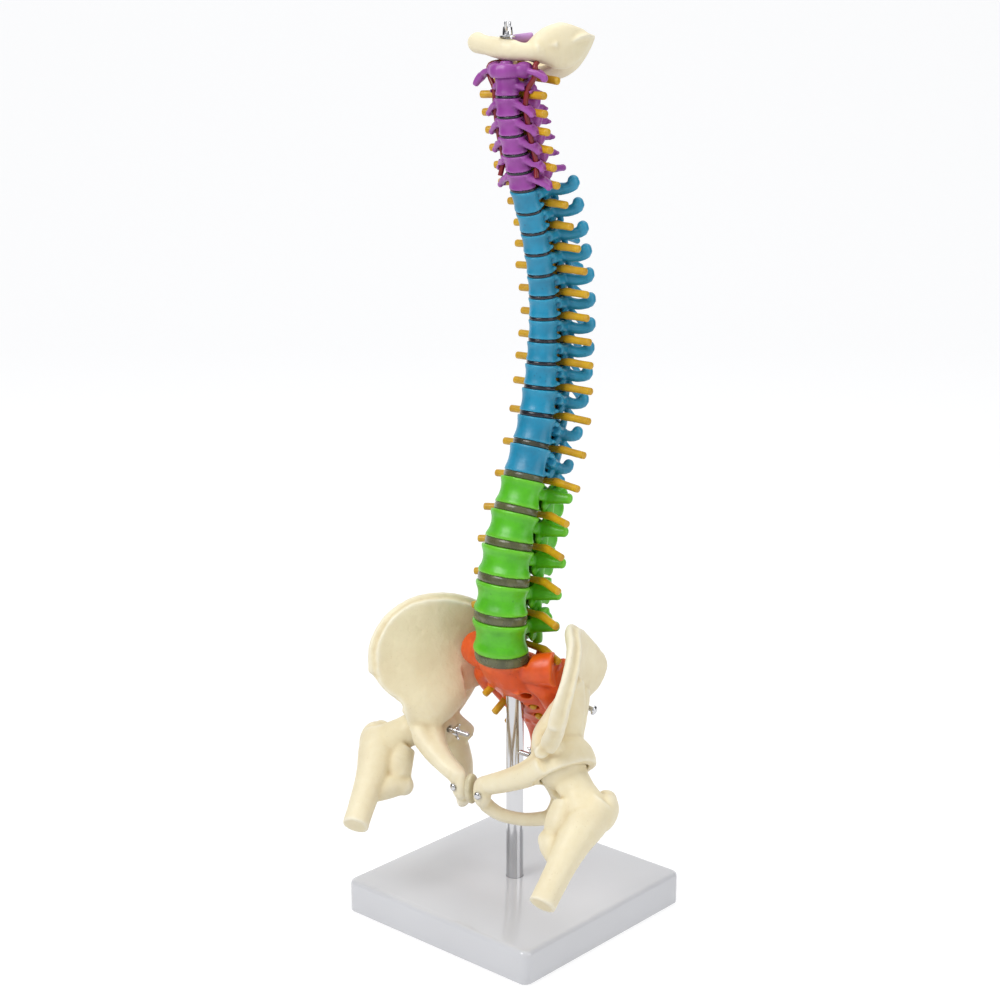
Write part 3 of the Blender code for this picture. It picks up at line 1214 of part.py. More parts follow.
clear_scene()
MATERIALS = {name: make_material(name) for name in COLOURS}
make_stand()
CORE_BORE, NERVE_SPACE, STUD_SPACE = make_column()
make_head_end(STUD_SPACE)
make_pelvis(CORE_BORE, NERVE_SPACE)
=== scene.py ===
"""Looks of the half-size spine model: fine castings, finishes, stand, camera and studio.

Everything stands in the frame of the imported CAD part: Z is up, the model faces -Y, its own
left side is +X and the origin is the middle of the base's underside. Sizes are written in
millimetres, and each finished mesh is written in metres.
"""

import logging
import math
from collections.abc import Iterable, Sequence
from dataclasses import dataclass
from enum import Enum
from typing import Any

import bmesh
import bpy
import numpy as np
from mathutils import Matrix, Vector, noise

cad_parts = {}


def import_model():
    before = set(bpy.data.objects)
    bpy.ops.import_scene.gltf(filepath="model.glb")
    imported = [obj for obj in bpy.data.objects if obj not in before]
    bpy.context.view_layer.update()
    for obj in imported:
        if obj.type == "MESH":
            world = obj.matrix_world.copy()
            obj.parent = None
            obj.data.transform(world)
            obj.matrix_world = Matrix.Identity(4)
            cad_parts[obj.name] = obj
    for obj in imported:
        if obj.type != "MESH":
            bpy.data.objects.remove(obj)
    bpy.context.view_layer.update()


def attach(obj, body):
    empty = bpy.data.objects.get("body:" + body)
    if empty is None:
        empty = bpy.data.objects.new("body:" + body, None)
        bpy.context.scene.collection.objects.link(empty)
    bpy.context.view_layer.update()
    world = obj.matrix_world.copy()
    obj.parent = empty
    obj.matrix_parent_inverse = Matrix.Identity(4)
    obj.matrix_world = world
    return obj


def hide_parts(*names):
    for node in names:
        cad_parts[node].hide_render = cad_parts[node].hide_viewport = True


LOG = logging.getLogger("spine_model")
MM = 0.001
GAP = 0.3
RIPPLE_SCALE = 230.0
HOLLOW_ROUNDS = 14
HOLLOW_DEPTH = 1.1
HIP_BOLT_RADIUS = 1.3
FINE = 0.45
BROAD = 0.6

Point = tuple[float, float, float]
Size = float | tuple[float, float]
Value = float | Vector
Outline = list[tuple[float, float]]
Colour = tuple[float, float, float]
Piece = bpy.types.Object
Vert = bmesh.types.BMVert

SIDEWAYS: Point = (1.0, 0.0, 0.0)
AHEAD: Point = (0.0, 1.0, 0.0)
UPRIGHT: Point = (0.0, 0.0, 1.0)
HIP_CENTRE: Point = (45.0, -16.5, 95.8)


class Body(Enum):
    """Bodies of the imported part."""

    STAND = "stand_and_spine"
    RIGHT_LEG = "right_leg"
    LEFT_LEG = "left_leg"


class Side(Enum):
    """The model's own right and left side."""

    RIGHT = -1
    LEFT = 1

    @property
    def word(self) -> str:
        """Word for the side in the names of nodes."""
        return self.name.lower()

    @property
    def leg(self) -> Body:
        """Body that the femur of this side belongs to."""
        return Body.RIGHT_LEG if self is Side.RIGHT else Body.LEFT_LEG

    def of(self, points: Iterable[Point]) -> list[Vector]:
        """Points of the left side, laid to this side.

        Args:
            points: Places on the left side, in millimetres.

        Returns:
            The same places on this side.
        """
        return [Vector((self.value * x, y, z)) for x, y, z in points]

    def at(self, point: Point) -> Vector:
        """Point of the left side, laid to this side."""
        return self.of([point])[0]


class Region(Enum):
    """Regions of the column, by the letter of their levels."""

    NECK = "C"
    CHEST = "T"
    LOIN = "L"


# Shader tools


@dataclass(frozen=True)
class Wire:
    """Output of a shader node that can be reckoned with as a number.

    Attributes:
        recipe: Recipe whose node tree holds the node.
        socket: Output of that node.
    """

    recipe: "Recipe"
    socket: bpy.types.NodeSocket

    def reckon(self, operation: str, first: "Wire | float", second: "Wire | float") -> "Wire":
        """Adds one Math node.

        Args:
            operation: What the node does with its two values.
            first: Upper value.
            second: Lower value.

        Returns:
            The node's output.
        """
        return self.recipe.add("ShaderNodeMath", {"operation": operation}, {0: first, 1: second})

    def __add__(self, other: "Wire | float") -> "Wire":
        """Sum with a value or another output."""
        return self.reckon("ADD", self, other)

    def __radd__(self, other: float) -> "Wire":
        """Sum with a value on the left."""
        return self.reckon("ADD", other, self)

    def __sub__(self, other: "Wire | float") -> "Wire":
        """Difference from a value or another output."""
        return self.reckon("SUBTRACT", self, other)

    def __rsub__(self, other: float) -> "Wire":
        """Difference of a value on the left."""
        return self.reckon("SUBTRACT", other, self)

    def __mul__(self, other: "Wire | float") -> "Wire":
        """Product with a value or another output."""
        return self.reckon("MULTIPLY", self, other)

    def __rmul__(self, other: float) -> "Wire":
        """Product with a value on the left."""
        return self.reckon("MULTIPLY", other, self)


class Recipe:
    """Node tree of one finish."""

    def __init__(self, name: str) -> None:
        """Starts a material with a bare Principled shader.

        Args:
            name: Name of the material.
        """
        self.material = bpy.data.materials.new(name)
        self.material.use_nodes = True
        self.tree = self.material.node_tree
        self.shader = self.tree.nodes["Principled BSDF"]

    def add(
        self,
        kind: str,
        settings: dict[str, Any] | None = None,
        inputs: dict[int | str, Any] | None = None,
        output: int | str = 0,
    ) -> Wire:
        """Adds a node: its settings first, then the values or links of its inputs.

        Args:
            kind: Node type.
            settings: Properties of the node.
            inputs: Value or Wire for each input socket.
            output: Output socket that is handed on.

        Returns:
            The chosen output.
        """
        node = self.tree.nodes.new(kind)
        for key, value in (settings or {}).items():
            setattr(node, key, value)
        for key, value in (inputs or {}).items():
            self.feed(node.inputs[key], value)
        return Wire(self, node.outputs[output])

    def feed(self, socket: bpy.types.NodeSocket, value: Any) -> None:
        """Links a Wire to a socket, or sets the socket's own value.

        Args:
            socket: Input socket.
            value: Wire, number, colour or vector.
        """
        if isinstance(value, Wire):
            self.tree.links.new(value.socket, socket)
        elif isinstance(value, tuple) and len(value) == 3 and socket.type == "RGBA":
            socket.default_value = (*value, 1.0)
        else:
            socket.default_value = value

    def set(self, **inputs: Any) -> None:
        """Feeds sockets of the Principled shader, named with underscores for spaces."""
        for key, value in inputs.items():
            name = "IOR" if key == "ior" else key.replace("_", " ").title()
            self.feed(self.shader.inputs[name], value)

    def grain(self, scale: float, detail: float = 2.0, rough: float = 0.5) -> Wire:
        """Cloudy pattern on the piece's own coordinates.

        Args:
            scale: Clouds to the metre.
            detail: Octaves of finer clouds.
            rough: Strength of the finer clouds.

        Returns:
            Brightness of the clouds, near 0.5 on the whole.
        """
        place = self.add("ShaderNodeTexCoord", output="Object")
        return self.add(
            "ShaderNodeTexNoise",
            inputs={"Vector": place, "Scale": scale, "Detail": detail, "Roughness": rough},
        )

    def pits(self, scale: float) -> Wire:
        """Distance to the nearest of many scattered points, for pores and specks."""
        place = self.add("ShaderNodeTexCoord", output="Object")
        return self.add("ShaderNodeTexVoronoi", inputs={"Vector": place, "Scale": scale})

    def between(self, value: Wire, low: float, high: float, start: float = 0.0, end: float = 1.0) -> Wire:
        """Brings a stretch of values to a new stretch, and keeps within it.

        Args:
            value: What is read.
            low: Value that becomes start.
            high: Value that becomes end.
            start: Result at low.
            end: Result at high.

        Returns:
            The new value.
        """
        return self.add(
            "ShaderNodeMapRange",
            inputs={"Value": value, "From Min": low, "From Max": high, "To Min": start, "To Max": end},
        )

    def blend(self, share: "Wire | float", first: "Wire | Colour", second: "Wire | Colour") -> Wire:
        """Mix of two colours.

        Args:
            share: How much of the second colour there is.
            first: Colour at share 0.
            second: Colour at share 1.

        Returns:
            The mixed colour.
        """
        return self.add("ShaderNodeMix", {"data_type": "RGBA"}, {0: share, 6: first, 7: second}, 2)

    def hollow(self) -> Wire:
        """How far each place lies in a hollow of the casting: 0.5 on even ground; the mask of the painted
        shade and highlights.
        """
        return self.add("ShaderNodeAttribute", {"attribute_name": "hollow"}, output="Fac")

    def bump(self, height: Wire, strength: float, distance: float) -> None:
        """Lets a pattern stand out of the surface.

        Args:
            height: Pattern, brighter where it is higher.
            strength: Share of the full effect.
            distance: Height of the pattern in metres.
        """
        normal = self.add(
            "ShaderNodeBump", inputs={"Strength": strength, "Distance": distance, "Height": height}
        )
        self.set(normal=normal)


# Finishes


@dataclass(frozen=True)
class Finish:
    """A finish of the model, with the material slot that it stands for.

    Attributes:
        name: Name of the material.
        slot: Material slot of the part's record; not used.
        colour: Main colour.
        shade: Darker colour of patches and specks, and of the painted shade that the plastic and bone
            finishes lay in hollows.
        rough: Roughness of the surface.
    """

    name: str
    slot: str
    colour: Colour
    shade: Colour
    rough: float

    def material(self) -> bpy.types.Material:
        """Material of this finish, made once."""
        found = bpy.data.materials.get(self.name)
        return found or self.mix()

    def mix(self) -> bpy.types.Material:
        """Makes the material."""
        raise NotImplementedError

    def start(self) -> Recipe:
        """Recipe with the colours that a viewport shows."""
        recipe = Recipe(self.name)
        recipe.material.diffuse_color = (*self.colour, 1.0)
        return recipe

    def worn(self, recipe: Recipe, clouds: Wire, more: float) -> Wire:
        """Roughness that rises with the clouds, by at most a given amount."""
        return recipe.between(clouds, 0.0, 1.0, self.rough, self.rough + more)


@dataclass(frozen=True)
class MouldedPlastic(Finish):
    """Coloured plastic casting: slight clouds in the colour, painted shade in the hollows, painted
    highlights on the ridges, a soft gloss.
    """

    # Colour of the painted highlight on the ridges.
    light: Colour = (1.0, 1.0, 1.0)

    def mix(self) -> bpy.types.Material:
        """Makes the material."""
        recipe = self.start()
        clouds = recipe.between(recipe.grain(85.0, 3.0, 0.6), 0.36, 0.66)
        colour = recipe.blend(clouds * 0.34, self.colour, self.shade)
        specks = recipe.between(recipe.pits(330.0), 0.10, 0.22, 1.0, 0.0)
        sparse = recipe.between(recipe.grain(120.0, 1.0), 0.56, 0.64)
        colour = recipe.blend(specks * sparse * 0.45, colour, self.shade)
        hollow = recipe.hollow()
        # Painted shade: the hollows are darkened towards the shade colour.
        colour = recipe.blend(recipe.between(hollow, 0.56, 0.98, 0.0, 0.85), colour, self.shade)
        # Painted highlight: the ridges are lightened towards the highlight colour.
        colour = recipe.blend(recipe.between(hollow, 0.46, 0.10, 0.0, 0.40), colour, self.light)
        skin = recipe.grain(1400.0, 2.0) * 0.35 + recipe.grain(260.0, 3.0) * 0.65
        recipe.set(base_color=colour, roughness=self.worn(recipe, clouds, 0.10))
        recipe.set(coat_weight=0.22, coat_roughness=0.22)
        recipe.bump(skin, 0.30, 0.00035)
        return recipe.material


@dataclass(frozen=True)
class CastBone(Finish):
    """Cream bone casting: warm clouds, fine pores, painted shade in warm yellow-brown in the hollows and
    painted highlights on the ridges.
    """

    # Colour of the painted highlight on the ridges.
    light: Colour = (0.95, 0.90, 0.76)

    def mix(self) -> bpy.types.Material:
        """Makes the material."""
        recipe = self.start()
        clouds = recipe.between(recipe.grain(42.0, 4.0, 0.62), 0.34, 0.68)
        colour = recipe.blend(clouds * 0.26, self.colour, self.shade)
        hollow = recipe.hollow()
        # Painted shade: the hollows are darkened towards the warm shade colour.
        colour = recipe.blend(recipe.between(hollow, 0.52, 1.0, 0.0, 0.8), colour, self.shade)
        # Painted highlight: the ridges are lightened towards the highlight colour.
        colour = recipe.blend(recipe.between(hollow, 0.48, 0.1, 0.0, 0.5), colour, self.light)
        pores = recipe.between(recipe.pits(520.0), 0.06, 0.20, 1.0, 0.0)
        patches = recipe.between(recipe.grain(95.0, 2.0), 0.50, 0.64)
        colour = recipe.blend(pores * patches * 0.35, colour, self.shade)
        height = recipe.grain(900.0, 3.0) * 0.35 + recipe.grain(170.0, 4.0, 0.6) * 0.65
        recipe.set(base_color=colour, roughness=self.worn(recipe, clouds, 0.12))
        recipe.set(coat_weight=0.10, coat_roughness=0.30)
        recipe.bump(height - pores * patches * 0.3, 0.45, 0.0005)
        return recipe.material


@dataclass(frozen=True)
class DiscGum(Finish):
    """Smoky, half-clear gum of the discs, darker up the column.

    Attributes:
        clear: Share of light let through.
        upper: Colour above the loin.
    """

    clear: float = 0.30
    upper: Colour = (0.020, 0.022, 0.034)

    def mix(self) -> bpy.types.Material:
        """Makes the material."""
        recipe = self.start()
        clouds = recipe.between(recipe.grain(140.0, 3.0), 0.35, 0.65)
        streaks = recipe.between(recipe.grain(620.0, 1.0), 0.45, 0.72)
        colour = recipe.blend(clouds * 0.6, self.colour, self.shade)
        colour = recipe.blend(streaks * 0.25, colour, self.shade)
        place = recipe.add("ShaderNodeTexCoord", output="Object")
        height = recipe.add("ShaderNodeSeparateXYZ", inputs={"Vector": place}, output="Z")
        recipe.set(base_color=recipe.blend(recipe.between(height, 0.226, 0.262), colour, self.upper))
        recipe.set(roughness=self.worn(recipe, clouds, 0.10))
        recipe.set(transmission_weight=self.clear, ior=1.42, coat_weight=0.4, coat_roughness=0.12)
        recipe.bump(recipe.grain(700.0, 2.0), 0.2, 0.0003)
        return recipe.material


@dataclass(frozen=True)
class SoftGum(Finish):
    """Soft coloured gum of nerves, arteries and the stem's stub."""

    def mix(self) -> bpy.types.Material:
        """Makes the material."""
        recipe = self.start()
        clouds = recipe.between(recipe.grain(190.0, 3.0), 0.36, 0.66)
        recipe.set(base_color=recipe.blend(clouds * 0.45, self.colour, self.shade))
        recipe.set(roughness=self.worn(recipe, clouds, 0.12))
        recipe.set(coat_weight=0.18, coat_roughness=0.25)
        recipe.bump(recipe.grain(1100.0, 2.0), 0.25, 0.0003)
        return recipe.material


@dataclass(frozen=True)
class ChromedSteel(Finish):
    """Bright chromed steel with faint wipe marks."""

    def mix(self) -> bpy.types.Material:
        """Makes the material."""
        recipe = self.start()
        smears = recipe.between(recipe.grain(110.0, 4.0, 0.7), 0.4, 0.7)
        recipe.set(base_color=recipe.blend(smears * 0.5, self.colour, self.shade), metallic=1.0)
        recipe.set(roughness=self.worn(recipe, smears, 0.06))
        recipe.bump(recipe.grain(2200.0, 2.0), 0.08, 0.0002)
        return recipe.material


@dataclass(frozen=True)
class GlossBoard(Finish):
    """Glossy white board of the base, with a slight ripple and fine dust-like marks."""

    def mix(self) -> bpy.types.Material:
        """Makes the material."""
        recipe = self.start()
        clouds = recipe.between(recipe.grain(14.0, 3.0), 0.35, 0.65)
        marks = recipe.between(recipe.pits(160.0), 0.02, 0.05, 1.0, 0.0)
        sparse = recipe.between(recipe.grain(60.0, 1.0), 0.60, 0.66)
        colour = recipe.blend(clouds * 0.5, self.colour, self.shade)
        recipe.set(base_color=recipe.blend(marks * sparse * 0.4, colour, self.shade))
        recipe.set(roughness=self.worn(recipe, clouds, 0.05))
        recipe.set(coat_weight=0.5, coat_roughness=0.05)
        recipe.bump(recipe.grain(30.0, 2.0), 0.10, 0.0008)
        return recipe.material


VIOLET = MouldedPlastic(
    "violet_casting", "violet_plastic", (0.330, 0.048, 0.345), (0.100, 0.005, 0.105), 0.36,
    (0.50, 0.16, 0.52),
)
BLUE = MouldedPlastic(
    "blue_casting", "blue_plastic", (0.004, 0.270, 0.460), (0.001, 0.070, 0.140), 0.36,
    (0.05, 0.42, 0.62),
)
GREEN = MouldedPlastic(
    "green_casting", "green_plastic", (0.095, 0.530, 0.004), (0.016, 0.220, 0.002), 0.34,
    (0.24, 0.70, 0.03),
)
ORANGE = MouldedPlastic(
    "orange_casting", "orange_plastic", (0.820, 0.090, 0.002), (0.380, 0.024, 0.001), 0.38,
    (0.92, 0.20, 0.01),
)
BONE = CastBone("bone_casting", "bone_plastic", (0.880, 0.780, 0.520), (0.600, 0.440, 0.220), 0.42)
DISC = DiscGum("disc_gum", "disc_plastic", (0.190, 0.195, 0.085), (0.070, 0.076, 0.030), 0.22)
NERVE = SoftGum("nerve_gum", "nerve_plastic", (0.690, 0.390, 0.006), (0.440, 0.190, 0.002), 0.34)
ARTERY = SoftGum("artery_gum", "artery_plastic", (0.260, 0.008, 0.014), (0.110, 0.002, 0.004), 0.30)
STEM = SoftGum("stem_gum", "stem_plastic", (0.560, 0.300, 0.600), (0.380, 0.160, 0.420), 0.36)
PAD = DiscGum(
    "pad_gum", "pad_plastic", (0.780, 0.700, 0.470), (0.560, 0.470, 0.280), 0.28, 0.1, (0.78, 0.70, 0.47)
)
CHROME = ChromedSteel("chromed_steel", "chromed_steel", (0.720, 0.720, 0.730), (0.600, 0.600, 0.610), 0.04)
BOARD = GlossBoard("gloss_board", "white_plastic", (0.660, 0.660, 0.675), (0.620, 0.620, 0.635), 0.14)


# Shape tools


def bend(start: Value, out: Value, end: Value, into: Value, t: float) -> Value:
    """Smooth curve between two values, leaving the first and meeting the second at given slopes.

    Args:
        start: Value at t 0.
        out: Slope there.
        end: Value at t 1.
        into: Slope there.
        t: Place between the two.

    Returns:
        The value at t.
    """
    return (
        start * (2 * t**3 - 3 * t**2 + 1)
        + out * (t**3 - 2 * t**2 + t)
        + end * (3 * t**2 - 2 * t**3)
        + into * (t**3 - t**2)
    )


def glide(values: Sequence[Vector], place: float) -> Vector:
    """Smooth curve through values at whole places.

    Args:
        values: Points or sizes at the places 0, 1, 2 and so on.
        place: Place on the curve.

    Returns:
        The value there.
    """
    last = len(values) - 1
    span = min(int(place), last - 1)
    start, end = values[span], values[span + 1]
    out = (end - values[max(span - 1, 0)]) * 0.5
    into = (values[min(span + 2, last)] - start) * 0.5
    return bend(start, out, end, into, place - span)


def path_frames(points: Sequence[Vector], level: Point) -> list[Matrix]:
    """Frames along points.

    Args:
        points: Stations of the path.
        level: Direction that each frame's X axis keeps as near as it can.

    Returns:
        One frame a point, with Z along the path.
    """
    frames = []
    last = len(points) - 1
    for i, point in enumerate(points):
        along = (points[min(i + 1, last)] - points[max(i - 1, 0)]).normalized()
        side = Vector(level) - along * along.dot(Vector(level))
        side = side.normalized() if side.length > 0.05 else along.orthogonal().normalized()
        frame = Matrix((side, along.cross(side), along)).transposed().to_4x4()
        frame.translation = point
        frames.append(frame)
    return frames


def axis_frame(start: Vector, towards: Vector, turn: float = 0.0) -> Matrix:
    """Frame at a point with its Z axis towards another point.

    Args:
        start: Origin of the frame.
        towards: Point that Z aims at.
        turn: Degrees that the frame is turned about Z.

    Returns:
        The frame.
    """
    aim = (towards - start).to_track_quat("Z", "Y").to_matrix().to_4x4()
    return Matrix.Translation(start) @ aim @ Matrix.Rotation(math.radians(turn), 4, "Z")


def round_edges(
    bm: bmesh.types.BMesh, edges: Sequence[bmesh.types.BMEdge], offset: float, segments: int
) -> None:
    """Rounds edges with an even arc, in the material that they have."""
    bmesh.ops.bevel(
        bm, geom=edges, offset=offset, segments=segments, affect="EDGES", profile=0.5, material=-1
    )


class Clay:
    """Closed forms in millimetres, gathered in one mesh before it is cast."""

    def __init__(self) -> None:
        """Starts with nothing."""
        self.bm = bmesh.new()

    def skin(self, rings: Sequence[Matrix], sides: int) -> list[Vert]:
        """Closed tube: a disc drawn out from ring to ring.

        Args:
            rings: Frames, with the tube's radii as their scale.
            sides: Sides of the tube.

        Returns:
            The tube's vertices.
        """
        first = bmesh.ops.create_circle(
            self.bm, cap_ends=True, segments=sides, radius=1.0, matrix=rings[0]
        )["verts"]
        made = list(first)
        rim = list({edge for vert in first for edge in vert.link_edges})
        for last, following in zip(rings, rings[1:]):
            grown = bmesh.ops.extrude_edge_only(self.bm, edges=rim)["geom"]
            verts = [item for item in grown if isinstance(item, Vert)]
            fresh = set(verts)
            rim = [e for e in grown if isinstance(e, bmesh.types.BMEdge) and set(e.verts) <= fresh]
            bmesh.ops.transform(self.bm, matrix=following @ last.inverted(), verts=verts)
            made += verts
        bmesh.ops.edgeloop_fill(self.bm, edges=rim)
        return made

    def limb(
        self,
        points: Sequence[Point | Vector],
        sizes: Sequence[Size],
        sides: int = 14,
        level: Point = SIDEWAYS,
        steps: int = 3,
    ) -> list[Vert]:
        """Smooth tapered limb along points.

        Args:
            points: Stations of the limb.
            sizes: Radius, or radii across and deep, at each station.
            sides: Sides of the limb.
            level: Direction that "across" keeps near.
            steps: Rings between two stations.

        Returns:
            The limb's vertices.
        """
        route = [Vector(point) for point in points]
        girth = [Vector(size if isinstance(size, tuple) else (size, size)) for size in sizes]
        stops = [i / steps for i in range((len(route) - 1) * steps + 1)]
        frames = path_frames([glide(route, stop) for stop in stops], level)
        rings = [
            frame @ Matrix.Diagonal((*glide(girth, stop), 1.0, 1.0)) for frame, stop in zip(frames, stops)
        ]
        return self.skin(rings, sides)

    def ball(self, centre: Point | Vector, radii: float | Point, turn: Matrix | None = None) -> None:
        """Ellipsoid.

        Args:
            centre: Its middle.
            radii: One radius, or three.
            turn: Rotation of the ellipsoid.
        """
        radii = radii if isinstance(radii, tuple) else (radii,) * 3
        frame = Matrix.Translation(centre) @ (turn.to_4x4() if turn else Matrix())
        bmesh.ops.create_icosphere(
            self.bm, subdivisions=3, radius=1.0, matrix=frame @ Matrix.Diagonal((*radii, 1.0))
        )

    def twin_limbs(
        self, points: Sequence[Point], sizes: Sequence[Size], sides: int = 14, level: Point = SIDEWAYS
    ) -> None:
        """Limb given for the left side, and its like on the right."""
        for side in Side:
            self.limb(side.of(points), sizes, sides, level)

    def twin_balls(self, centre: Point, radii: float | Point, turn: Matrix | None = None) -> None:
        """Ellipsoid given for the left side, and its like on the right."""
        for side in Side:
            self.ball(side.at(centre), radii, turn)

    def sheet(self, rows: Sequence[Sequence[Point]], thickness: float, fine: tuple[int, int]) -> None:
        """Curved plate through rows of points.

        Args:
            rows: Points of the plate's middle face, row by row.
            thickness: Thickness, laid to both sides of the middle.
            fine: Squares along a row, and squares from the first row to the last.
        """
        made = bmesh.ops.create_grid(self.bm, x_segments=fine[0], y_segments=fine[1], size=1.0)["verts"]
        lines = [[Vector(point) for point in row] for row in rows]
        for vert in made:
            along = (vert.co.x + 1) / 2 * (len(lines[0]) - 1)
            up = (vert.co.y + 1) / 2 * (len(lines) - 1)
            vert.co = glide([glide(line, along) for line in lines], up)
        faces = list({face for vert in made for face in vert.link_faces})
        bmesh.ops.recalc_face_normals(self.bm, faces=faces)
        self.bm.normal_update()
        moves = [(vert, vert.normal * (-thickness / 2)) for vert in made]
        for vert, move in moves:
            vert.co += move
        edges = list({edge for face in faces for edge in face.edges})
        bmesh.ops.solidify(self.bm, geom=faces + edges + list(made), thickness=thickness)

    def turned(self, profile: Outline, steps: int, frame: Matrix | None = None) -> None:
        """Solid turned from half its outline.

        Args:
            profile: Radius and height of each corner, from axis to axis or closed on itself.
            steps: Sides of the solid.
            frame: Frame that it is turned in.
        """
        verts = [self.bm.verts.new((radius, 0.0, height)) for radius, height in profile]
        closed = profile[0][0] > 0 or profile[-1][0] > 0
        ends = zip(verts, verts[1:] + verts[:1]) if closed else zip(verts, verts[1:])
        edges = [self.bm.edges.new(pair) for pair in ends]
        grown = bmesh.ops.spin(
            self.bm, geom=verts + edges, cent=(0, 0, 0), axis=(0, 0, 1), angle=math.tau, steps=steps,
            use_merge=True,
        )
        around = {v for v in self.bm.verts if any(not f.tag for f in v.link_faces)} | set(verts)
        around |= {v for item in grown["geom_last"] for v in getattr(item, "verts", [item])}
        bmesh.ops.remove_doubles(self.bm, verts=[v for v in around if v.is_valid], dist=0.0005)
        fresh = [face for face in self.bm.faces if not face.tag]
        bmesh.ops.recalc_face_normals(self.bm, faces=fresh)
        spots = list({vert for face in fresh for vert in face.verts})
        for face in fresh:
            face.tag = True
        if frame is not None:
            bmesh.ops.transform(self.bm, matrix=frame, verts=spots)

    def place(self, frame: Matrix, verts: Iterable[Vert] | None = None) -> None:
        """Moves vertices, or all there is, into a frame.

        Args:
            frame: Where they go.
            verts: Vertices, or none for all.
        """
        bmesh.ops.transform(self.bm, matrix=frame, verts=list(self.bm.verts if verts is None else verts))


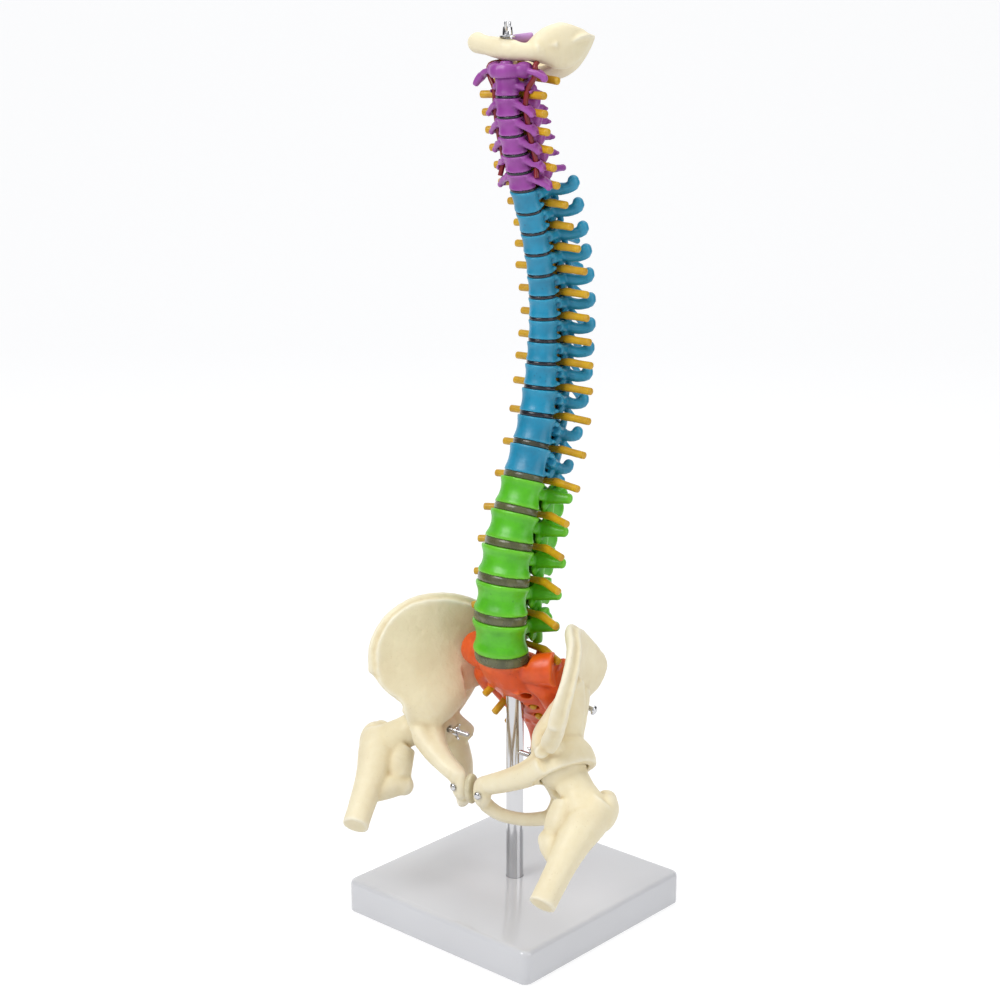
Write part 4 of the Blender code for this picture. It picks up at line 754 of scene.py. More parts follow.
class Foundry:
    """Casts clay into finished pieces and says which solids they stand for."""

    def __init__(self) -> None:
        """Starts with no tools."""
        self.tools: list[Piece] = []
        self.count = 0

    def body_from(self, name: str, clay: Clay) -> Piece:
        """Object at the origin with the clay's mesh in metres, faces outwards.

        Args:
            name: Name of the object.
            clay: What it is made of; it is used up.

        Returns:
            The object.
        """
        bmesh.ops.recalc_face_normals(clay.bm, faces=clay.bm.faces)
        bmesh.ops.scale(clay.bm, vec=(MM, MM, MM), verts=clay.bm.verts)
        mesh = bpy.data.meshes.new(name)
        clay.bm.to_mesh(mesh)
        clay.bm.free()
        obj = bpy.data.objects.new(name, mesh)
        bpy.context.collection.objects.link(obj)
        return obj

    def tool(self, name: str, clay: Clay) -> Piece:
        """Body that is cut out of other pieces, and cleared away at the end."""
        obj = self.body_from(name, clay)
        obj.hide_render = True
        self.tools.append(obj)
        return obj

    def bake(self, obj: Piece) -> None:
        """Writes what an object's modifiers make into its mesh."""
        graph = bpy.context.evaluated_depsgraph_get()
        graph.update()
        mesh = bpy.data.meshes.new_from_object(obj.evaluated_get(graph))
        obj.modifiers.clear()
        old, obj.data = obj.data, mesh
        bpy.data.meshes.remove(old)

    def one_skin(self, obj: Piece, voxel: float, relax: int) -> None:
        """Grows all forms of an object into one even skin.

        Args:
            obj: The object.
            voxel: Size of the skin's squares in millimetres.
            relax: Rounds of smoothing after it.
        """
        skin = obj.modifiers.new("skin", "REMESH")
        skin.mode = "VOXEL"
        skin.voxel_size = voxel * MM
        ease = obj.modifiers.new("ease", "SMOOTH")
        ease.factor = 0.5
        ease.iterations = relax
        self.bake(obj)

    def cast(
        self,
        name: str,
        clay: Clay,
        voxel: float,
        tools: Sequence[Piece] = (),
        wave: float = 0.10,
        relax: tuple[int, int] = (4, 2),
    ) -> Piece:
        """Moulded piece: one skin, cut by tools, skinned again so that its edges soften.

        Args:
            name: Name of the piece.
            clay: Its forms.
            voxel: Size of the skin's squares.
            tools: What is cut out of it.
            wave: Height of the slight unevenness of a casting, in millimetres.
            relax: Rounds of smoothing before and after the cuts.

        Returns:
            The piece.
        """
        obj = self.body_from(name, clay)
        self.one_skin(obj, voxel, relax[0])
        if tools:
            for tool in tools:
                step = obj.modifiers.new(tool.name, "BOOLEAN")
                step.operation = "DIFFERENCE"
                step.solver = "MANIFOLD"
                step.object = tool
            self.bake(obj)
            self.one_skin(obj, voxel, relax[1])
        self.ripple(obj.data, wave)
        obj.data.shade_smooth()
        self.mark_hollows(obj.data)
        return obj

    def machined(self, name: str, clay: Clay, sharp: float = 40.0) -> Piece:
        """Hard-edged piece, shaded smooth up to an angle.

        Args:
            name: Name of the piece.
            clay: Its forms.
            sharp: Angle in degrees past which an edge stays sharp.

        Returns:
            The piece.
        """
        obj = self.body_from(name, clay)
        obj.data.shade_smooth()
        obj.data.set_sharp_from_angle(angle=math.radians(sharp))
        self.mark_hollows(obj.data)
        return obj

    def ripple(self, mesh: bpy.types.Mesh, height: float) -> None:
        """Moves the skin in and out by slow clouds, as a casting's skin is never even.

        Args:
            mesh: Mesh in metres.
            height: Most that a point moves, in millimetres.
        """
        mesh.update()
        normals = np.empty(len(mesh.vertices) * 3)
        mesh.vertices.foreach_get("normal", normals)
        for vert, normal in zip(mesh.vertices, normals.reshape(-1, 3)):
            spot = vert.co * RIPPLE_SCALE
            lift = noise.noise(spot) * 0.7 + noise.noise(spot * 2.7) * 0.3
            vert.co += Vector(normal) * (lift * height * MM)
        mesh.update()

    def mark_hollows(self, mesh: bpy.types.Mesh) -> None:
        """Writes the attribute "hollow": 0.5 on even ground, towards 1 in hollows and 0 on ridges; the
        plastic and bone finishes paint shade into the hollows and highlights onto the ridges from it.
        """
        count = len(mesh.vertices)
        places = np.empty(count * 3)
        mesh.vertices.foreach_get("co", places)
        normals = np.empty(count * 3)
        mesh.vertices.foreach_get("normal", normals)
        ends = np.empty(len(mesh.edges) * 2, dtype=np.int32)
        mesh.edges.foreach_get("vertices", ends)
        left, right = ends[0::2], ends[1::2]
        places = places.reshape(-1, 3)
        degree = np.maximum(np.bincount(ends, minlength=count), 1)
        soft = places.copy()
        for _ in range(HOLLOW_ROUNDS):
            gathered = [
                np.bincount(left, soft[right, axis], count) + np.bincount(right, soft[left, axis], count)
                for axis in range(3)
            ]
            soft = np.stack(gathered, axis=1) / degree[:, None]
        depth = ((soft - places) * normals.reshape(-1, 3)).sum(axis=1) / MM
        level = np.clip(0.5 + depth / HOLLOW_DEPTH, 0.0, 1.0)
        mark = mesh.attributes.new("hollow", "FLOAT", "POINT")
        mark.data.foreach_set("value", level.astype(np.float32))

    def issue(self, obj: Piece, finish: Finish, node: str, body: Body = Body.STAND) -> None:
        """Dresses a piece, and lets it ride and stand for its solid.

        Args:
            obj: The piece.
            finish: Its finish.
            node: Solid that it stands for.
            body: Body that it rides on.
        """
        obj.data.materials.clear()
        obj.data.materials.append(finish.material())
        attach(obj, body.value)
        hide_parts(node)
        self.count += 1
        LOG.info("%s: %d faces, %s", obj.name, len(obj.data.polygons), finish.name)

    def clear(self) -> None:
        """Clears the tools away."""
        for obj in self.tools:
            bpy.data.objects.remove(obj)
        self.tools = []


# Column


@dataclass(frozen=True)
class LevelTable:
    """Value at each level, straight between the levels that it names."""

    marks: tuple[tuple[str, float], ...]

    def at(self, level: str) -> float:
        """Value at a level."""
        place = LEVELS.index(level)
        keys = [(LEVELS.index(name), value) for name, value in self.marks]
        for (a, low), (b, high) in zip(keys, keys[1:]):
            if a <= place <= b:
                return low + (high - low) * (place - a) / (b - a)
        return keys[-1][1]


LEVELS = (
    [f"C{n}" for n in range(1, 8)] + [f"T{n}" for n in range(1, 13)] + [f"L{n}" for n in range(1, 6)]
)


@dataclass(frozen=True)
class RegionForm:
    """What sets the vertebrae of one region apart.

    Attributes:
        finish: Finish of the castings.
        waist: Share of the width that a body loses at its waist.
        arch_rise: Height of the arch's middle over the body's, as a share of the body's height.
        arch_half: Half the height of the arch, as the same share.
        blade: Half thickness and half height of the spinous process.
        nerve_back: How far behind the body its nerve leaves.
        nerve_fore: How far forward the nerve's tip lies of that place.
    """

    finish: Finish
    waist: float
    arch_rise: float
    arch_half: float
    blade: tuple[float, float]
    nerve_back: float
    nerve_fore: float


FORMS = {
    Region.NECK: RegionForm(VIOLET, 0.10, 0.0, 0.36, (1.2, 2.0), 1.2, 2.4),
    Region.CHEST: RegionForm(BLUE, 0.08, 0.14, 0.36, (1.1, 2.0), 2.4, 1.0),
    Region.LOIN: RegionForm(GREEN, 0.12, 0.12, 0.30, (1.3, 4.6), 1.2, 3.4),
}


@dataclass(frozen=True)
class Column:
    """Line of the column and what its vertebrae measure.

    Attributes:
        stations: Height and forward-back place of the line through the bodies, rising.
        top_disc: Height of the disc under C2.
        atlas: Height of the atlas.
        back_share: Depth of a body's rear half as a share of its front half's.
    """

    stations: tuple[tuple[float, float], ...] = (
        (128.0, -5.0), (142.2, -9.8), (168.0, -10.2), (198.7, -4.6), (231.0, 6.4), (261.0, 16.2),
        (300.0, 20.6), (325.0, 19.6), (352.7, 13.3), (374.0, 5.2), (400.0, -3.2), (417.3, -6.4),
        (450.0, -6.0),
    )
    top_disc: float = 417.3
    atlas: float = 429.2
    pitch: LevelTable = LevelTable((
        ("C1", 9.0), ("C7", 9.0), ("T1", 11.6), ("T2", 10.9), ("T8", 11.2), ("T9", 12.3), ("T12", 16.6),
        ("L3", 17.8), ("L5", 20.4),
    ))
    disc: LevelTable = LevelTable((
        ("C1", 1.1), ("C7", 1.3), ("T4", 1.5), ("T9", 1.9), ("T12", 3.1), ("L3", 4.5), ("L5", 5.4),
    ))
    width: LevelTable = LevelTable((
        ("C1", 12.0), ("C3", 13.4), ("C7", 15.4), ("T1", 15.4), ("T4", 14.4), ("T7", 15.6), ("T9", 17.6),
        ("T12", 23.0), ("L1", 25.4), ("L3", 30.0), ("L5", 32.0),
    ))
    depth: LevelTable = LevelTable((
        ("C1", 9.6), ("C7", 10.6), ("T1", 11.0), ("T4", 13.0), ("T7", 14.6), ("T12", 18.0), ("L1", 19.6),
        ("L3", 23.0), ("L5", 24.4),
    ))
    canal: LevelTable = LevelTable((
        ("C1", 4.1), ("C7", 4.2), ("T2", 3.7), ("T9", 3.6), ("T12", 4.2), ("L5", 4.6),
    ))
    reach: LevelTable = LevelTable((
        ("C1", 13.4), ("C6", 13.6), ("C7", 15.4), ("T1", 17.6), ("T4", 16.4), ("T9", 14.6), ("T11", 11.4),
        ("T12", 9.6), ("L1", 17.0), ("L3", 20.0), ("L5", 19.0),
    ))
    spine_reach: LevelTable = LevelTable((
        ("C1", 9.0), ("C2", 10.0), ("C6", 12.0), ("C7", 16.0), ("T1", 15.5), ("T8", 15.0), ("T12", 12.0),
        ("L1", 15.0), ("L5", 13.0),
    ))
    spine_drop: LevelTable = LevelTable((
        ("C1", 3.0), ("C6", 4.0), ("C7", 5.0), ("T2", 9.0), ("T6", 14.0), ("T8", 14.0), ("T11", 7.0),
        ("L1", 3.5), ("L5", 4.0),
    ))
    nerve_reach: LevelTable = LevelTable((
        ("C1", 20.5), ("C7", 19.0), ("T2", 18.6), ("T4", 22.4), ("T6", 21.6), ("T8", 24.6), ("T12", 27.4),
        ("L5", 29.0),
    ))
    nerve_drop: LevelTable = LevelTable((
        ("C1", -0.4), ("T9", -0.6), ("T12", 0.8), ("L1", 1.8), ("L5", 2.0),
    ))
    core_radius: float = 1.9
    artery_out: float = 2.9
    back_share: float = 0.84

    def line_y(self, height: float) -> float:
        """Forward-back place of the line at a height, on a smooth curve through its stations."""
        keys = self.stations
        span = max(i for i in range(len(keys) - 1) if i == 0 or keys[i][0] <= height)
        slopes = []
        for i in (span, span + 1):
            low, high = keys[max(i - 1, 0)], keys[min(i + 1, len(keys) - 1)]
            slopes.append((high[1] - low[1]) / (high[0] - low[0]))
        (a, left), (b, right) = keys[span], keys[span + 1]
        size = b - a
        return bend(left, slopes[0] * size, right, slopes[1] * size, (height - a) / size)

    def frame(self, height: float) -> Matrix:
        """Frame on the line: X to the left side, Y to the back and Z along the line."""
        lean = self.line_y(height + 0.5) - self.line_y(height - 0.5)
        rise = Vector((0, lean, 1)).normalized()
        side = Vector((1, 0, 0))
        frame = Matrix((side, rise.cross(side), rise)).transposed().to_4x4()
        frame.translation = (0, self.line_y(height), height)
        return frame

    def down(self, height: float, distance: float) -> float:
        """Height reached by going down the line.

        Args:
            height: Where it starts.
            distance: How far along the line.

        Returns:
            The height reached.
        """
        steps = 20
        for _ in range(steps):
            lean = self.line_y(height + 0.5) - self.line_y(height - 0.5)
            height -= distance / steps / math.hypot(1, lean)
        return height

    def lay_out(self) -> tuple[dict[str, Matrix], dict[str, Matrix]]:
        """Frames of the discs under C2 to L5, and of all vertebrae."""
        height = self.top_disc
        discs = {"C2": self.frame(height)}
        bodies = {
            "C1": Matrix.Translation((0, self.line_y(self.atlas), self.atlas)),
            "C2": self.frame(self.down(height, -self.pitch.at("C2") / 2)),
        }
        for level in LEVELS[2:]:
            bodies[level] = self.frame(self.down(height, self.pitch.at(level) / 2))
            height = self.down(height, self.pitch.at(level))
            discs[level] = self.frame(height)
        return discs, bodies

    def drum(self, clay: Clay, stations: Sequence[tuple[float, float]], level: str, frame: Matrix,
             sides: int = 40) -> None:
        """Oval drum with a flatter back, as vertebral bodies and discs have.

        Args:
            clay: Where it is added.
            stations: Place along the drum and share of the body's full size, for each ring.
            level: Level whose width and depth it takes.
            frame: Frame that it lies in.
            sides: Sides of the drum.
        """
        across, deep = self.width.at(level) / 2, self.depth.at(level) / 2
        rings = [
            Matrix.Translation((0, 0, place)) @ Matrix.Diagonal((across * size, deep * size, 1.0, 1.0))
            for place, size in stations
        ]
        verts = clay.skin(rings, sides)
        for vert in verts:
            if vert.co.y > 0:
                vert.co.y *= self.back_share
        clay.place(frame, verts)


@dataclass
class Vertebrae:
    """The 24 vertebrae: waisted bodies, arches round the canal, facets and processes.

    Attributes:
        disc_room: Width that is cleared for a disc, as a share of the body's.
        loin_skin: How much coarser the skin of the large loin castings is.
    """

    column: Column
    foundry: Foundry
    discs: dict[str, Matrix]
    bodies: dict[str, Matrix]
    disc_room: float = 1.12
    loin_skin: float = 1.15

    def sizes(self, level: str) -> tuple[float, float, float, float]:
        """Width, depth and height of a body, and radius of its canal."""
        column = self.column
        height = column.pitch.at(level) - column.disc.at(level)
        return column.width.at(level), column.depth.at(level), height, column.canal.at(level)

    def add_body(self, clay: Clay, level: str, height: float) -> None:
        """Waisted drum with lipped rims, taller than its space so that the discs trim it flat."""
        waist = FORMS[Region(level[0])].waist
        half = [(0.62, 0.3), (0.5, 0.0), (0.42, 0.0), (0.33, 0.36), (0.2, 0.82)]
        stations = [(-place, 1 - waist * share) for place, share in half] + [(0.0, 1 - waist)]
        stations += [(place, 1 - waist * share) for place, share in reversed(half)]
        self.column.drum(clay, [(place * height, size) for place, size in stations], level, Matrix())

    def add_arch(self, clay: Clay, level: str) -> None:
        """Pedicles, laminae and spinous process round the spinal canal."""
        _, depth, height, canal = self.sizes(level)
        region = Region(level[0])
        form = FORMS[region]
        rise, half, blade = form.arch_rise * height, form.arch_half * height, form.blade
        middle, rear = depth / 2 + canal, depth / 2 + 2 * canal + 1.0
        reach, drop = self.column.spine_reach.at(level), self.column.spine_drop.at(level)
        outer = canal + 1.3
        root = (outer * 0.92, depth / 2 - 3, rise)
        clay.twin_limbs([root, (outer, middle, rise)], [(1.6, half * 0.8)] * 2)
        clay.twin_limbs(
            [(outer, middle - 0.6, rise), (outer * 0.86, middle + canal * 0.62, rise - 0.8),
             (0, rear + 0.3, rise - 1.6)],
            [(1.7, half * 1.6), (2.1, half * 2.0), (1.9, half * 1.6)],
        )
        end = (0, rear + reach, rise - 1.4 - drop)
        clay.limb(
            [(0, rear + 0.6, rise - 1.8), (0, rear + reach * 0.5, rise - 1.4 - drop * 0.5), end],
            [(1.6, half * 0.62), blade, (blade[0] * 1.3, blade[1] * 0.85)],
        )
        clay.ball(end, (blade[0] * 1.55, 1.7, blade[1] * 0.95))
        if region is Region.NECK and level != "C7":
            clay.twin_balls((1.9, end[1] + 0.4, end[2] - 0.4), (1.2, 1.4, 1.1))

    def add_neck_sides(self, clay: Clay, level: str) -> None:
        """Split transverse processes, lipped body edges and articular pillars of the neck."""
        width, depth, height, _ = self.sizes(level)
        reach, root = self.column.reach.at(level), width / 2 - 1.5
        clay.twin_limbs(
            [(root, -1.4, 2.0), (reach - 3.4, 0.0, -0.8), (reach, 1.4, -3.6)],
            [(2.0, 1.8), (1.8, 1.6), (1.5, 1.3)], level=AHEAD,
        )
        clay.twin_limbs(
            [(root, depth / 2 - 1.4, 0.8), (reach - 3.4, 3.5, -0.8), (reach, 3.0, -3.6)],
            [(1.7, 1.6), (1.7, 1.5), (1.5, 1.4)], level=AHEAD,
        )
        clay.twin_balls((width / 2 + self.column.artery_out, 1.7, -0.3), (2.9, 2.7, 1.3))
        clay.twin_balls((reach, 0.9, -3.8), (1.6, 1.4, 1.6))
        clay.twin_balls((reach - 0.2, 3.4, -4.0), (1.5, 1.4, 1.5))
        clay.twin_balls((width / 2 - 0.9, 0, height * 0.45), (1.0, depth * 0.36, 1.2))
        tilt = Matrix.Rotation(math.radians(-38), 3, "X")
        clay.twin_balls((7.9, depth / 2 + 4.7, 0.2), (3.3, 3.1, height * 0.62), tilt)
        clay.twin_limbs([(root, depth / 2 - 1.0, 0.6), (7.6, depth / 2 + 3.6, 0.4)], [(2.2, 2.4)] * 2)

    def add_chest_sides(self, clay: Clay, level: str) -> None:
        """Boot-shaped transverse processes, rib facets and flat joint facets of the chest."""
        width, depth, height, canal = self.sizes(level)
        disc, reach = self.column.disc.at(level), self.column.reach.at(level)
        middle, knob = depth / 2 + canal, depth / 2 + canal * 2 + 3.0
        root = (canal + 1.6, middle + 1.4, height * 0.08)
        clay.twin_limbs(
            [root, (reach * 0.55 + 2.4, middle + 3.4, -0.2), (reach, knob, 0.9), (reach, knob + 0.3, 3.4)],
            [(2.5, 3.1), (2.5, 2.9), (2.8, 2.8), (2.6, 2.6)], level=AHEAD,
        )
        clay.twin_balls((reach, knob + 0.3, 3.0), (2.8, 2.9, 2.9))
        clay.twin_limbs([(width / 2 - 2.0, depth / 2 - 2.4, height * 0.16), root], [(2.4, 2.8)] * 2)
        facet = canal + 1.4
        clay.twin_balls((facet, middle + 2.2, height / 2 - 0.6), (2.1, 1.05, 2.4))
        clay.twin_limbs(
            [(facet, middle + 1.2, height * 0.2), (facet, middle + 2.4, height * 0.45)],
            [(1.8, 1.3), (1.8, 1.1)],
        )
        clay.twin_balls((facet, middle + 5.3, -height / 2 - disc * 0.3), (2.1, 1.05, 3.0))
        clay.twin_limbs(
            [(facet, middle + 3.0, 0), (facet, middle + 5.0, -height * 0.42)], [(1.9, 1.3), (1.9, 1.1)]
        )
        clay.twin_balls((width / 2 - 1.1, depth * 0.27, height * 0.34), (1.5, 2.0, 1.4))
        clay.twin_balls((width / 2 - 1.2, depth * 0.27, -height * 0.36), (1.3, 1.7, 1.1))

    def add_loin_sides(self, clay: Clay, level: str) -> None:
        """Long thin transverse processes and hooked joint facets of the loin."""
        _, depth, height, canal = self.sizes(level)
        disc, reach = self.column.disc.at(level), self.column.reach.at(level)
        middle = depth / 2 + canal
        tip = (reach, middle + 3.4, height * 0.14 + 0.8)
        clay.twin_limbs(
            [(canal + 1.4, middle, height * 0.14), (reach * 0.62 + 1.5, middle + 2.0, height * 0.16), tip],
            [(3.1, 4.4), (2.5, 3.4), (2.1, 2.7)], level=AHEAD,
        )
        clay.twin_balls(tip, (2.3, 2.1, 2.9))
        outer, inner = canal + 5.1, canal - 0.1
        clay.twin_limbs(
            [(canal + 2.4, middle + 1.6, height * 0.1), (outer, middle + 4.6, height * 0.36),
             (outer, middle + 5.4, height / 2 + disc * 0.55)],
            [(3.2, 3.4), (2.9, 3.6), (2.4, 3.2)],
        )
        clay.twin_balls((canal + 6.0, middle + 7.2, height * 0.30), (2.4, 2.5, 3.2))
        clay.twin_limbs(
            [(canal, middle + canal + 0.2, -height * 0.05), (inner, middle + 5.6, -height * 0.36),
             (inner, middle + 5.9, -height / 2 - disc * 0.4)],
            [(2.8, 2.8), (2.9, 3.0), (2.4, 2.8)],
        )

    def make_axis(self) -> Clay:
        """C2, with the peg that stands up inside the atlas."""
        clay = Clay()
        _, depth, height, _ = self.sizes("C2")
        self.add_body(clay, "C2", height * 0.92)
        self.add_arch(clay, "C2")
        clay.limb(
            [(0, 0, 1), (0, 0, 4.6), (0, 0, 8.0), (0, 0, 11.2), (0, 0, 12.0)],
            [(4.6, 4.4), (3.6, 3.6), 3.1, 3.2, 2.6], sides=20,
        )
        for side in Side:
            tilt = Matrix.Rotation(math.radians(side.value * 18), 3, "Y")
            clay.ball((side.value * 6.3, 2.2, height * 0.08), (3.7, 3.8, 2.1), tilt)
        clay.twin_limbs(
            [(5.5, 2.4, 0), (9.6, 2.8, -0.8), (12.6, 3.4, -2.6)],
            [(2.6, 2.0), (2.5, 1.4), (1.5, 1.3)], level=AHEAD,
        )
        clay.twin_balls((7.6, depth / 2 + 4.4, -1.4), (2.6, 2.4, 2.8))
        clay.twin_limbs([(6.0, 4.0, 0.5), (7.4, depth / 2 + 4.0, -0.8)], [(2.0, 2.0), (2.0, 2.2)])
        return clay

    def make_atlas(self) -> Clay:
        """C1, the ring that carries the skull plate."""
        clay = Clay()
        clay.limb(
            [(-8.0, 0.4, 0), (-5.2, -4.4, 0), (0, -6.1, 0), (5.2, -4.4, 0), (8.0, 0.4, 0)],
            [(3.0, 1.9), (3.4, 1.9), (3.6, 1.9), (3.4, 1.9), (3.0, 1.9)], level=UPRIGHT,
        )
        clay.limb(
            [(-9.2, 4.6, 0.6), (-8.6, 10.0, 0.6), (-4.6, 14.4, 0.4), (0, 15.8, 0.2), (4.6, 14.4, 0.4),
             (8.6, 10.0, 0.6), (9.2, 4.6, 0.6)],
            [(2.1, 1.5)] * 7, level=UPRIGHT,
        )
        clay.ball((0, 16.8, 0), (2.0, 1.7, 1.9))
        clay.ball((0, -6.6, 0.2), (2.0, 1.7, 2.0))
        clay.twin_balls((8.6, 2.4, 0.4), (4.1, 5.6, 4.0))
        clay.twin_limbs(
            [(10.0, 1.6, 0), (15.4, 1.4, -0.6), (19.6, 3.4, -2.8)],
            [(1.7, 1.6), (1.5, 1.5), (1.7, 1.6)], level=AHEAD,
        )
        clay.twin_limbs(
            [(10.0, 4.8, 0), (15.4, 5.8, -0.6), (19.4, 4.2, -2.8)],
            [(1.7, 1.5), (1.5, 1.4), (1.6, 1.5)], level=AHEAD,
        )
        clay.twin_balls((14.2, 3.6, -0.4), (3.4, 3.0, 1.4))
        clay.twin_balls((19.8, 3.8, -3.4), (1.7, 2.0, 2.0))
        clay.limb([(-18.6, 3.2, -2.4), (-21.0, 2.6, -4.8), (-22.6, 2.2, -7.2)], [2.3, 2.0, 1.5])
        return clay

    def make(self, artery_space: Piece, stud_space: Piece) -> None:
        """Casts every vertebra.

        Args:
            artery_space: Tool for the holes of the arteries.
            stud_space: Tool for the stud in the axis.
        """
        slots = Clay()
        for level, frame in self.discs.items():
            half = self.column.disc.at(level) / 2 + 0.05
            room = [(-half, self.disc_room), (half, self.disc_room)]
            self.column.drum(slots, room, level, frame, 32)
        disc_space = self.foundry.tool("disc_space", slots)
        for level in LEVELS:
            region = Region(level[0])
            tools = [disc_space]
            if level == "C1":
                clay, tools = self.make_atlas(), [artery_space]
            elif level == "C2":
                clay, tools = self.make_axis(), [disc_space, artery_space, stud_space]
            else:
                clay = Clay()
                self.add_body(clay, level, self.sizes(level)[2])
                self.add_arch(clay, level)
                if region is Region.NECK:
                    self.add_neck_sides(clay, level)
                elif region is Region.CHEST:
                    self.add_chest_sides(clay, level)
                else:
                    self.add_loin_sides(clay, level)
            if level in ("C3", "C4", "C5", "C6"):
                tools.append(artery_space)
            clay.place(self.bodies[level])
            voxel = FINE * (self.loin_skin if region is Region.LOIN else 1.0)
            piece = self.foundry.cast(f"{level}_casting", clay, voxel, tools)
            self.foundry.issue(piece, FORMS[region].finish, f"vertebra_{level}")


@dataclass
class Discs:
    """Flexible core with the 23 soft-edged discs that are moulded round it.

    Attributes:
        rim: Place across a disc's half thickness and share of its width, for each ring.
        loin_width: Width of the lowest discs as a share of the bodies'.
        upper_width: The same of the others.
        core_foot: Height of the core's lower end.
        core_rise: How far the core reaches over the top disc.
    """

    column: Column
    foundry: Foundry
    frames: dict[str, Matrix]
    rim: tuple[tuple[float, float], ...] = (
        (-1, 0.955), (-0.8, 0.987), (-0.3, 1), (0.3, 1), (0.8, 0.987), (1, 0.955),
    )
    loin_width: float = 0.985
    upper_width: float = 0.96
    core_foot: float = 133.0
    core_rise: float = 5.5

    def make(self) -> None:
        """Builds the discs on their core."""
        clay = Clay()
        for level, frame in self.frames.items():
            half = self.column.disc.at(level) / 2
            wide = self.loin_width if level[0] == "L" or level == "T12" else self.upper_width
            self.column.drum(clay, [(place * half, size * wide) for place, size in self.rim], level, frame)
        heights = [frame.translation.z for frame in self.frames.values()]
        heights = [self.column.top_disc + self.core_rise, *heights, self.core_foot]
        line = [self.column.frame(height).translation for height in heights]
        clay.limb(line, [self.column.core_radius] * len(line), sides=16, steps=2)
        self.foundry.issue(self.foundry.machined("discs_on_core", clay, 50.0), DISC, "disc_core")


@dataclass
class Nerves:
    """Spinal cord with round-ended nerve stubs, and the two vertebral arteries."""

    column: Column
    foundry: Foundry
    discs: dict[str, Matrix]
    bodies: dict[str, Matrix]
    cord_radius: float = 1.9
    nerve_radius: float = 1.9
    artery_radius: float = 1.25
    canal_end: tuple[Point, ...] = ((0.0, 12.0, 126.0), (0.0, 20.0, 112.0))
    low_nerves: tuple[tuple[Point, Point, Point], ...] = (
        ((0.0, 10.2, 130.5), (10.0, 1.6, 124.5), (12.0, -10.3, 117.3)),
        ((0.0, 14.2, 122.6), (8.8, 6.4, 114.6), (10.6, -4.5, 106.0)),
        ((0.0, 18.0, 115.6), (7.2, 12.2, 106.6), (8.4, 3.0, 99.0)),
    )

    def canal_point(self, level: str) -> Vector:
        """Middle of the spinal canal at the disc under a level."""
        back = self.column.depth.at(level) / 2 + self.column.canal.at(level) - 0.7
        return self.discs[level] @ Vector((0, back, 0))

    def routes(self) -> list[tuple[Vector, Vector, Vector]]:
        """Middle, gate and tip of every left nerve."""
        routes = [((0.0, 3.6, 426.4), (8.0, 7.6, 426.0), (20.0, 7.4, 424.4))]
        for level, frame in self.discs.items():
            depth, width = self.column.depth.at(level), self.column.width.at(level)
            form = FORMS[Region(level[0])]
            reach, drop = self.column.nerve_reach.at(level), self.column.nerve_drop.at(level)
            back = depth / 2 + form.nerve_back
            gate = frame @ Vector((max(width / 2, 6.4) + 0.6, back, 0.65))
            tip = frame @ Vector((reach, back - form.nerve_fore, -drop))
            routes.append((self.canal_point(level), gate, tip))
        routes += self.low_nerves
        return [tuple(Vector(point) for point in route) for route in routes]

    def stub(self, clay: Clay, route: tuple[Vector, Vector, Vector], side: int, extra: float = 0.0) -> None:
        """One nerve from the cord to its round tip, with a slight swelling at its gate.

        Args:
            clay: Where it is added.
            route: Middle, gate and tip on the left side.
            side: 1 for the left side, -1 for the right.
            extra: How much wider than the nerve it is, for a tool.
        """
        start, gate, tip = (Vector((side * point.x, point.y, point.z)) for point in route)
        along = (tip - gate).normalized()
        radius = self.nerve_radius + extra
        gap = (tip - gate).length
        stations = [start, start.lerp(gate, 0.6), gate, gate + along * gap * 0.4, tip - along * 1.3,
                    tip - along * 0.45, tip - along * 0.02]
        sizes = [radius * share for share in (0.8, 0.9, 1.12, 0.98, 1.0, 0.86, 0.45)]
        clay.limb(stations, sizes, 16, UPRIGHT, 2)

    def make_nerves(self) -> None:
        """Builds the cord and its nerves."""
        clay = Clay()
        line = [Vector((0.0, 3.4, 434.0)), Vector((0.0, 3.4, 427.6))]
        line += [self.canal_point(level) for level in list(self.discs)[::2]]
        line += [Vector(point) for point in self.canal_end]
        sizes = [self.cord_radius] * (len(line) - 2) + [self.cord_radius * 0.85, self.cord_radius * 0.6]
        clay.limb(line, sizes, sides=20, steps=4)
        routes = self.routes()
        for number, (start, gate, tip) in enumerate(routes):
            self.stub(clay, (start, gate, tip), -1)
            inside = number >= len(routes) - len(self.low_nerves)
            self.stub(clay, (start, gate, gate.lerp(tip, 0.35) if inside else tip), 1)
        piece = self.foundry.machined("cord_and_nerves", clay, 75.0)
        self.foundry.issue(piece, NERVE, "spinal_cord_nerves")

    def low_nerve_space(self) -> Piece:
        """Tool for the openings of the sacral nerves and the groove of the pair above them."""
        clay = Clay()
        for points in self.routes()[-4:]:
            longer = (*points[:2], points[2] + (points[2] - points[1]).normalized() * 4.0)
            self.stub(clay, longer, -1, 0.9)
            self.stub(clay, longer, 1, 0.9)
        return self.foundry.tool("low_nerve_space", clay)

    def artery_line(self, side: Side) -> list[Vector]:
        """Route of one vertebral artery up through the neck and over the atlas."""
        bodies, sign = self.bodies, side.value
        line = [bodies["C7"] @ Vector((sign * 11.6, -1.6, 2.0))]
        for level in ("C6", "C5", "C4", "C3"):
            out = self.column.width.at(level) / 2 + self.column.artery_out
            line.append(bodies[level] @ Vector((sign * out, 1.7, 0)))
        line.append(bodies["C2"] @ Vector((sign * 10.6, 2.8, -1.0)))
        for point in ((14.2, 3.6, -2.6), (14.2, 3.8, 2.6), (10.6, 9.4, 4.2), (5.6, 10.2, 5.4)):
            line.append(bodies["C1"] @ Vector((sign * point[0], point[1], point[2])))
        return line

